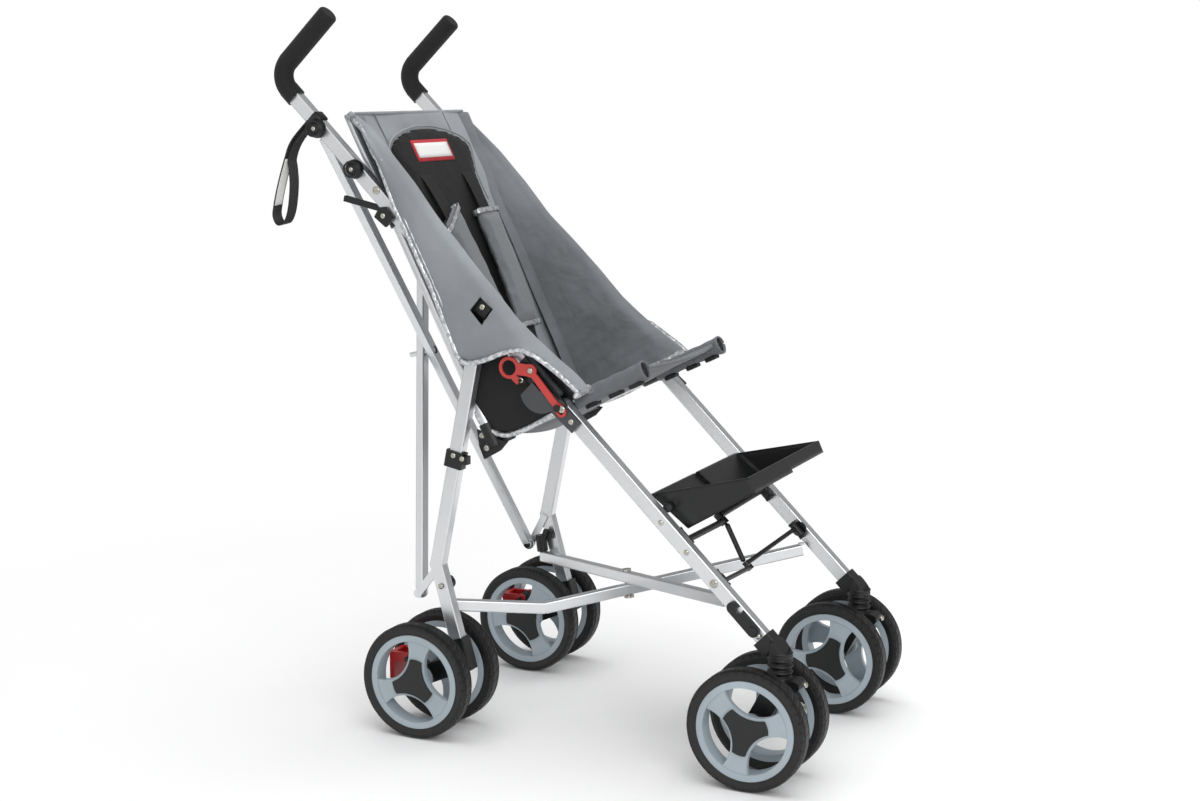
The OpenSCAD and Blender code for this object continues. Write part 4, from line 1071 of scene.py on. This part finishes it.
@dataclass
class Sling:
    """Seat and back sling with its tube bands, black insert, plain patch and seat."""

    half_back: float = 166.0
    half_seat: float = 140.0
    top: float = 540.0
    seat_end: float = 268.0
    # half widths of the insert by the distance up the back, in mm
    insert_half: Table = (
        (40, 105), (200, 108), (376, 108), (422, 110), (446, 119), (472, 128), (484, 119), (494, 103), (503, 75),
        (509, 42), (512, 14),
    )

    def back_lift(self, x: float, up: float) -> float:
        """Height of the back's face in front of the tubes' line: flat at the top, sagging lower, in mm."""
        t, flat = x / self.half_back, min(1.0, max(0.0, (up - 120) / 300))
        return 7 + 4 * flat - 22 * (1 - t * t) * (1 - flat)

    def face(self, up: float, x: float, lift: float = 0.0) -> Vector:
        """A point on the back's face or lifted off it, from places in mm."""
        return FRAME.back(x, up, self.back_lift(x, up) + lift)

    def back_point(self, up: float, x: float) -> Vector:
        """A point of the back's rippled cloth.

        Args:
            up: Distance up the back, in mm.
            x: Distance to the left, in mm.

        Returns:
            The point in metres.
        """
        p = self.face(up, x)
        p.y -= ripple(p, 0.14, 2.5 * MM, 2.2)
        return p

    def seat_point(self, out: float, t: float) -> Vector:
        """A point of the seat's rippled cloth.

        Args:
            out: Distance forward along the rail, in mm.
            t: Share of the half width to the left.

        Returns:
            The point in metres.
        """
        p = FRAME.seat(t * self.half_seat, out, 4 - (22 - 16 * out / self.seat_end) * (1 - t * t))
        p.z += ripple(p, 0.15, 2 * MM, 0.7)
        return p

    def build(self) -> None:
        """Builds the sling, insert, patch, seat, bands and seams."""
        half = self.half_back
        rows = grid(np.linspace(30, self.top, 34), np.linspace(-half, half, 25), self.back_point)
        back = sheet_piece("back_sling", rows, GREY_CLOTH, 3 * MM)
        self.place(back, "seat_fabric")
        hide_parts("seat_cloth")
        self.insert()
        self.patch()
        self.seat()
        for side in Side:
            self.sleeve(side)
        line = [self.face(self.top, x) for x in np.linspace(-172, 172, 17)]
        self.place(tube_piece("back_top_binding", line, 2.8 * MM, GREY_CLOTH), "wing_fabric")
        for k, x in enumerate((-118, 96)):
            seam = [
                FRAME.back(x + 0.06 * (self.top - up), up, self.back_lift(x, up) + 2.2)
                for up in np.linspace(538, 470, 8)
            ]
            self.place(tube_piece(f"back_seam_{k}", seam, 0.9 * MM, SHADED_CLOTH), "wing_fabric")
        LOG.info("sling, insert and seat")

    def place(self, piece: Piece, slot: str, keep: float = 0.535) -> None:
        """Lets a piece ride on the right handle frame with a mesh of its own."""
        attach(piece, "handle_right", slot)
        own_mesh(piece)

    def sleeve(self, side: Side) -> None:
        """Builds the cloth band sewn round the front of a back tube.

        Args:
            side: The tube's side.
        """
        rows = grid(
            np.linspace(44, 536, 30),
            np.linspace(-1, 1, 9),
            lambda up, t: FRAME.back(side.value * (150 + 18 * up / self.top + 21 * t), up, 15.5 - 5 * t * t),
        )
        for p in (p for row in rows for p in row):
            p.y -= ripple(p, 0.1, 1.2 * MM, 5.2)
        band = sheet_piece(f"back_tube_band_{side.word}", rows, SHADED_CLOTH, 2 * MM)
        attach(band, f"handle_{side.word}", "wing_fabric")

    def insert(self) -> None:
        """Builds the padded black insert of the back with its arched top and stitched edge."""
        rows = []
        for up in (self.insert_half[0][0], *np.linspace(60, 472, 24), 478, 484, 494, 503, 509, 512):
            half = lerp_table(self.insert_half, up)
            rows.append([self.face(up, t * half, 7) for t in np.linspace(-1, 1, 21)])
        piece = sheet_piece("back_insert", rows, BLACK_CLOTH, 5 * MM)
        inflate(piece, 4.5 * MM, 3.0, 3 * MM)
        self.place(piece, "seat_fabric")
        edge = [FRAME.back(-half - 2, up, 19) for up, half in self.insert_half[2:]]
        edge += [FRAME.back(half + 2, up, 19) for up, half in self.insert_half[:1:-1]]
        self.place(tube_piece("back_insert_edge", edge, 1.5 * MM, GREY_CLOTH), "wing_fabric")

    def patch(self) -> None:
        """Sews a plain patch with a red edge to the insert's head."""
        for name, inset, lift, finish in (("edge", 0.0, 23.5, PATCH_EDGE), ("field", 6.0, 24.6, PATCH)):
            ups, xs = np.linspace(449 + inset, 486 - inset, 5), np.linspace(-66 + inset, 50 - inset, 9)
            rows = [[FRAME.back(x, up, lift) for x in xs] for up in ups]
            self.place(sheet_piece(f"back_patch_{name}", rows, finish, 1.2 * MM, 0), "wing_fabric")

    def seat(self) -> None:
        """Builds the seat between the rails."""
        rows = grid(np.linspace(12, self.seat_end, 22), np.linspace(-1, 1, 21), self.seat_point)
        piece = sheet_piece("seat_sling", rows, SHADED_CLOTH, 5 * MM)
        self.place(piece, "seat_fabric", 0.48)


@dataclass
class RailSleeve:
    """Cloth sleeve round a seat rail with a plug at its front end and buckles under it."""

    side: Side
    x: float = 152.0
    start: float = 150.0
    end: float = 274.0
    radius: float = 12.2
    wrinkle: float = 0.8
    flare: float = 2.0
    buckles: tuple[float, ...] = (172, 214, 250)
    buckle_edge: Table = ((-10, -3), (10, -3), (11, 2), (7, 4), (-7, 4), (-11, 2))

    def point(self, out: float, t: float) -> Vector:
        """A point by its distance along the rail, in mm, and its angle."""
        wide = self.radius + self.wrinkle * math.sin(out * 0.21 + 3 * t) + self.flare * (out > self.end - 8)
        return FRAME.seat(self.side.value * self.x + wide * math.cos(t), out, wide * math.sin(t))

    def build(self) -> None:
        """Builds the sleeve, the plug and the buckles."""
        s, word, body = self.side.value, self.side.word, f"handle_{self.side.word}"
        rows = grid(np.linspace(self.start, self.end, 22), np.linspace(0, TURN, 22, endpoint=False), self.point)
        sleeve = sheet_piece(f"rail_sleeve_{word}", [row + [row[0].copy()] for row in rows], SHADED_CLOTH, 2 * MM)
        attach(sleeve, body, "wing_fabric")
        ahead = (FRAME.seat(0, 1, 0) - FRAME.seat(0, 0, 0)).normalized()
        seat = FRAME.seat(s * self.x, self.end - 4, 0)
        attach(dome_piece(f"rail_plug_{word}", seat, ahead, 11.5, 1.5, NYLON), body, "black_plastic")
        for k, out in enumerate(self.buckles):
            outline = [FRAME.seat(s * (self.x - 9), out + u, w - 15) for u, w in self.buckle_edge]
            buckle = prism_piece(f"rail_buckle_{word}_{k}", outline, self.side.out * 16 * MM, NYLON)
            attach(buckle, body, "black_plastic")


@dataclass
class Harness:
    """Shoulder straps with two padded sleeves, taped at their ends."""

    sling: Sling
    # half width and half height of a pad, of its ends and of the tapes round them, in mm
    pad_half: tuple[float, float] = (34.0, 5.0)
    end_half: tuple[float, float] = (30.0, 2.0)
    tape_half: tuple[float, float] = (35.5, 9.5)
    # distance from the middle, up the back and in front of it, in mm
    route: Table = (
        (67, 430, 18), (66, 418, 25), (61, 357, 31), (50, 250, 31), (40, 148, 28), (36, 110, 18), (34, 60, 6),
    )

    def build(self) -> None:
        """Builds straps, pads and tapes."""
        for side in Side:
            path = [FRAME.back(side.value * x, up, lift) for x, up, lift in self.route]
            size = (30 * MM, 2 * MM)
            strap = ribbon_piece(f"shoulder_strap_{side.word}", path, Vector((1, 0, 0)), size, WEBBING)
            self.sling.place(strap, "webbing")
            pad = self.pad(side, path)
            self.sling.place(pad, "pad_fabric")
            if side is Side.RIGHT:
                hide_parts("shoulder_straps")
            for k, (end, lean) in enumerate(((path[2], self.lean(side)), (path[4], 0.0))):
                self.band(f"shoulder_pad_band_{side.word}_{k}", end, path[3], lean)
        LOG.info("harness")

    @staticmethod
    def lean(side: Side) -> float:
        """Slant of a pad's upper end: the right one has turned on its strap."""
        return -0.6 if side is Side.RIGHT else 0.0

    @staticmethod
    def oval(c: float, q: float, wide: float, high: float) -> tuple[float, Vector]:
        """Distance aside and offset in front on a flat oval of these half sizes, in metres."""
        front = FRAME.back_normal() * abs(q) ** 0.6 * math.copysign(high, q)
        return abs(c) ** 0.5 * math.copysign(wide, c), front

    def band(self, name: str, end: Vector, inward: Vector, lean: float) -> None:
        """Builds the silver tape round a pad's end.

        Args:
            name: The tape's name.
            end: The middle of the pad's end.
            inward: A point further along the pad.
            lean: The end's slant.
        """
        way = (inward - end).normalized()
        ring = [self.oval(c, q, self.tape_half[0] * MM, self.tape_half[1] * MM) for c, q in circle(25, True)]
        rows = [
            [end + way * (step * MM + lean * aside) + Vector((aside, 0, 0)) + front for aside, front in ring]
            for step in ((7, 11, 15) if lean else (1, 5, 9))
        ]
        self.sling.place(sheet_piece(name, rows, PIPING, 1 * MM), "wing_fabric")

    def pad(self, side: Side, path: list[Vector]) -> Piece:
        """Builds one padded sleeve round a strap.

        Args:
            side: Its side.
            path: The strap's middle line.

        Returns:
            The pad.
        """
        spine, sides = smooth_path(path[2:5], 8), 20
        way = (path[3] - path[2]).normalized()
        points = []
        for i, p in enumerate(spine):
            lean = self.lean(side) * max(0.0, 1 - 2 * i / len(spine))
            wide, high = self.end_half if i in (0, len(spine) - 1) else self.pad_half
            for c, q in circle(sides):
                aside, front = self.oval(c, q, wide * MM, high * MM)
                flat = Vector((aside, 0, 0))
                points.append(p + flat + way * lean * flat.x + front)
        piece = make(f"shoulder_pad_{side.word}", points, tube_faces(len(spine), sides), PAD_CLOTH)
        return inflate(piece, 4.5 * MM, 4.0, 5 * MM)


@dataclass
class WristStrap:
    """Webbing loop on the right handle, held by a black collar."""

    tube_x: float = -190.0
    tube_half: tuple[float, float] = (9.0, 11.0)
    # places along the collar and how far it stands off the tube there, in mm
    collar_steps: Table = ((580, 2.2), (581, 3.2), (595, 3.2), (596, 2.2))
    # Y and Z of the loop, in mm
    route: Table = (
        (377, 944), (408, 912), (421, 884), (435, 843), (443, 812), (445, 795), (438, 783), (426, 786), (417, 806),
        (412, 843), (413, 868), (414, 884), (402, 909), (373, 940),
    )

    def build(self) -> None:
        """Builds the loop, its plain label and its collar."""
        path = placed(Side.RIGHT, 6 - self.tube_x, self.route)
        across = Vector((0.75, -0.62, 0.2))
        loop = ribbon_piece("wrist_loop", path, across, (15 * MM, 1.8 * MM), WEBBING)
        attach(loop, "handle_right", "webbing")
        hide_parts("wrist_strap")
        face = [p + Vector((-1.6, -1.6, 0)) * MM for p in path[2:5]]
        label = ribbon_piece("wrist_label", face, across, (12 * MM, 0.8 * MM), PATCH)
        attach(label, "handle_right", "webbing")
        attach(self.collar(), "handle_right", "black_plastic")
        LOG.info("wrist strap")

    def collar(self) -> Piece:
        """Builds the collar round the tube, with rounded corners like the tube's own."""
        sides, corner = 24, 0.35
        points = []
        for a, off in self.collar_steps:
            for c, q in circle(sides):
                x = math.copysign(abs(c) ** corner, c) * (self.tube_half[0] + off)
                v = math.copysign(abs(q) ** corner, q) * (self.tube_half[1] + off)
                points.append(FRAME.at(self.tube_x + x, a, v))
        return make("wrist_collar", points, grid_faces(len(self.collar_steps), sides, around=True), NYLON)


@dataclass
class HandleTrim:
    """Knobs on the handle tube, and the hook bar with its block."""

    knobs: Table = ((575, 2), (486, -1))
    block_edge: Table = ((386, 2), (386, 22), (411, 25), (415, 8), (408, 0))
    bar_edge: Table = ((405, 12), (470, 53), (475, 45), (410, 4))
    rim: float = 11.5
    # distances from the middle, in mm
    knob_x: float = 199.0
    rim_x: float = 213.0
    eye_x: float = 211.0
    bolt_x: float = 206.0
    block_x: float = 199.2
    bar_x: float = 186.0

    def build(self) -> None:
        """Builds the trim on both sides."""
        for side in Side:
            s, out, word, body = side.value, side.out, side.word, f"handle_{side.word}"
            for k, (a, v) in enumerate(self.knobs):
                ring = [FRAME.at(s * self.rim_x, a + self.rim * c, v + self.rim * q) for c, q in circle(19, True)]
                cap = dome_piece(f"knob_{word}_{k}", FRAME.at(s * self.knob_x, a, v), out, 15, 13.5, NYLON)
                attach(cap, body, "black_plastic")
                attach(tube_piece(f"knob_rim_{word}_{k}", ring, 1.6 * MM, NYLON), body, "black_plastic")
                rivet(f"knob_eye_{word}_{k}", FRAME.at(s * self.eye_x, a, v), out, 4.2, 3, body)
            rivet(f"hook_bolt_{word}", FRAME.at(s * self.bolt_x, 401, 12), out, 4.4, 2.6, body)
            for name, x, edge, thick in (
                ("block", self.block_x, self.block_edge, 7),
                ("bar", self.bar_x, self.bar_edge, 8),
            ):
                piece = prism_piece(f"hook_{name}_{word}", on_line(side, x, edge), out * thick * MM, NYLON)
                attach(piece, body, "black_plastic")
        LOG.info("handle trim")


@dataclass
class SidePanel:
    """Black cloth panel between a wing's inner seam and the seat corner, piped along its foot."""

    side: Side
    # Y and Z of its upper and lower edge, in mm
    top: Table = ((128, 592), (100, 606), (60, 612), (20, 604), (-18, 580), (-40, 556))
    foot: Table = ((111, 508), (97, 487), (62, 474), (20, 489), (-25, 515), (-56, 536))

    def build(self) -> None:
        """Builds the panel and its piping; the left one hangs lower, with its wing."""
        s, body, top, wide = self.side.value, f"handle_{self.side.word}", self.top, 174
        if self.side is Side.LEFT:
            top, wide = [(y, z - 10 - 0.14 * (top[0][0] - y)) for y, z in top], 181
        rows = []
        for t in np.linspace(0, 1, 9):
            x, line = s * (wide + 4 * math.sin(math.pi * t) - 3 * t), []
            for (y0, z0), (y1, z1) in zip(top, self.foot):
                p = Vector((x, y0 + (y1 - y0) * t, z0 + (z1 - z0) * t)) * MM
                p.x += s * ripple(p, 0.1, 2.0 * MM, 3.3)
                line.append(p)
            rows.append(line)
        panel = sheet_piece(f"side_panel_{self.side.word}", rows, BLACK_CLOTH, 2.5 * MM, 2)
        attach(panel, body, "seat_fabric")
        line = placed(self.side, 172, [(y, z - 1) for y, z in self.foot])
        piping = tube_piece(f"side_panel_piping_{self.side.word}", line, 4.2 * MM, PIPING)
        attach(piping, body, "wing_fabric")


@dataclass
class Bellows:
    """Ribbed rubber boot over a caster's spring."""

    side: Side
    ribs: int = 5
    travel: float = 0.0105

    def build(self) -> None:
        """Builds the boot and lets it ride on its boot body."""
        word, node = self.side.word, f"spring_boot_{self.side.word}"
        low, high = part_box(node)
        centre, tall, reach = (low + high) / 2, high.z - low.z, (high.x - low.x) / 2
        rows = []
        for t in np.linspace(0, 1, self.ribs * 8 + 1):
            wide = reach * (0.9 - 0.1 * math.cos(TURN * self.ribs * t)) - 0.3 * MM
            z = low.z + tall * t
            rows.append([Vector((centre.x + wide * c, centre.y + wide * q, z)) for c, q in circle(33, True)])
        boot = sheet_piece(f"bellows_{word}", rows, BELLOWS, 1.4 * MM, 1)
        attach(boot, f"boot_{word}", "black_plastic")
        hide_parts(node)
        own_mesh(boot)
        LOG.info("bellows_%s", word)


@dataclass
class Rivets:
    """Nickel rivet heads on legs, brackets and levers, and the plate at the seat's corner."""

    # place along and below the handle line, distance from the middle, radius, all in mm, and body
    line: tuple[tuple[float, float, float, float, str], ...] = (
        (-226, 0, 199.0, 4.2, "front_leg"),
        (-283, 0, 199.0, 4.2, "front_leg"),
        (-343, 0, 199.0, 6.4, "front_leg"),
        (-441, 0, 203.0, 4.4, "front_leg"),
        (-28, 0, 205.9, 4.6, "front_leg"),
        (189, 22, 202.1, 6.0, "handle"),
        (172, 0, 202.1, 4.0, "handle"),
        (205, 0, 202.1, 4.0, "handle"),
        (438, -4, 199.0, 6.2, "handle"),
        (69, -6, 209.9, 4.6, "lever"),
        (69, 15, 209.9, 4.2, "lever"),
        (-6, -4, 210.4, 5.6, "front_leg"),
    )
    # X, Y and Z of the caster fork's rivet, distances from the middle, and Y and Z, all in mm
    nose: tuple[float, float, float] = (190, -428, 152)
    corner_x: float = 173.0
    plate_x: float = 169.0
    corner: Table = ((99.7, 469.7), (91.9, 450.9))
    plate: Table = ((109, 479), (105, 452), (96.6, 432.5), (68, 449), (55, 464), (69, 465.6), (91.4, 473))
    # Y, Z and distance from the middle, in mm
    rear: Table = ((159.5, 233.3, 201.0), (134, 441, 202.0), (119, 437, 202.0), (129, 124, 203.0))

    def build(self) -> None:
        """Sets every rivet on both sides."""
        for side in Side:
            s, out, word, handle = side.value, side.out, side.word, f"handle_{side.word}"
            for k, (a, v, x, r, body) in enumerate(self.line):
                rivet(f"rivet_{word}_{k}", FRAME.at(s * x, a, v), out, r, 2.2, f"{body}_{word}")
            for k, spot in enumerate(placed(side, self.corner_x, self.corner)):
                rivet(f"rivet_corner_{word}_{k}", spot, out, 5, 2.4, handle)
            plate = prism_piece(f"seat_corner_{word}", placed(side, self.plate_x, self.plate), out * 4 * MM, NYLON)
            attach(plate, handle, "black_plastic")
            nose = Vector((s * self.nose[0], *self.nose[1:])) * MM
            rivet(f"rivet_fork_{word}", nose, Vector((0, -1, 0.3)), 5, 4, f"fork_{word}")
            for k, (y, z, x) in enumerate(self.rear):
                rivet(f"rivet_rear_{word}_{k}", Vector((s * x, y, z)) * MM, out, 4.4, 2.2, f"rear_leg_{word}")
        LOG.info("rivets")


def write_sizes(before: object, after: object) -> None:
    """Puts the frame's box and the dressed box side by side and leaves the pair unused.

    Args:
        before: The frame's box.
        after: The dressed part's box.
    """
    plain: Callable[[object], list] = lambda box: [[round(float(c), 6) for c in corner] for corner in box]
    {"cad": plain(before), "visual": plain(after)}


def main() -> None:
    """Builds the dressed buggy in order."""
    logging.basicConfig(level=logging.INFO, format="%(name)s: %(message)s")
    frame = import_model()
    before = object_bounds()
    Studio().build()
    FrameDress(frame["nodes"]).build()
    WristStrap().build()
    HandleTrim().build()
    for side in Side:
        Wing(side).build()
        SidePanel(side).build()
        RailSleeve(side).build()
        Bellows(side).build()
    sling = Sling()
    sling.build()
    Harness(sling).build()
    Rivets().build()
    write_sizes(before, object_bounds())


if __name__ == "__main__":
    main()
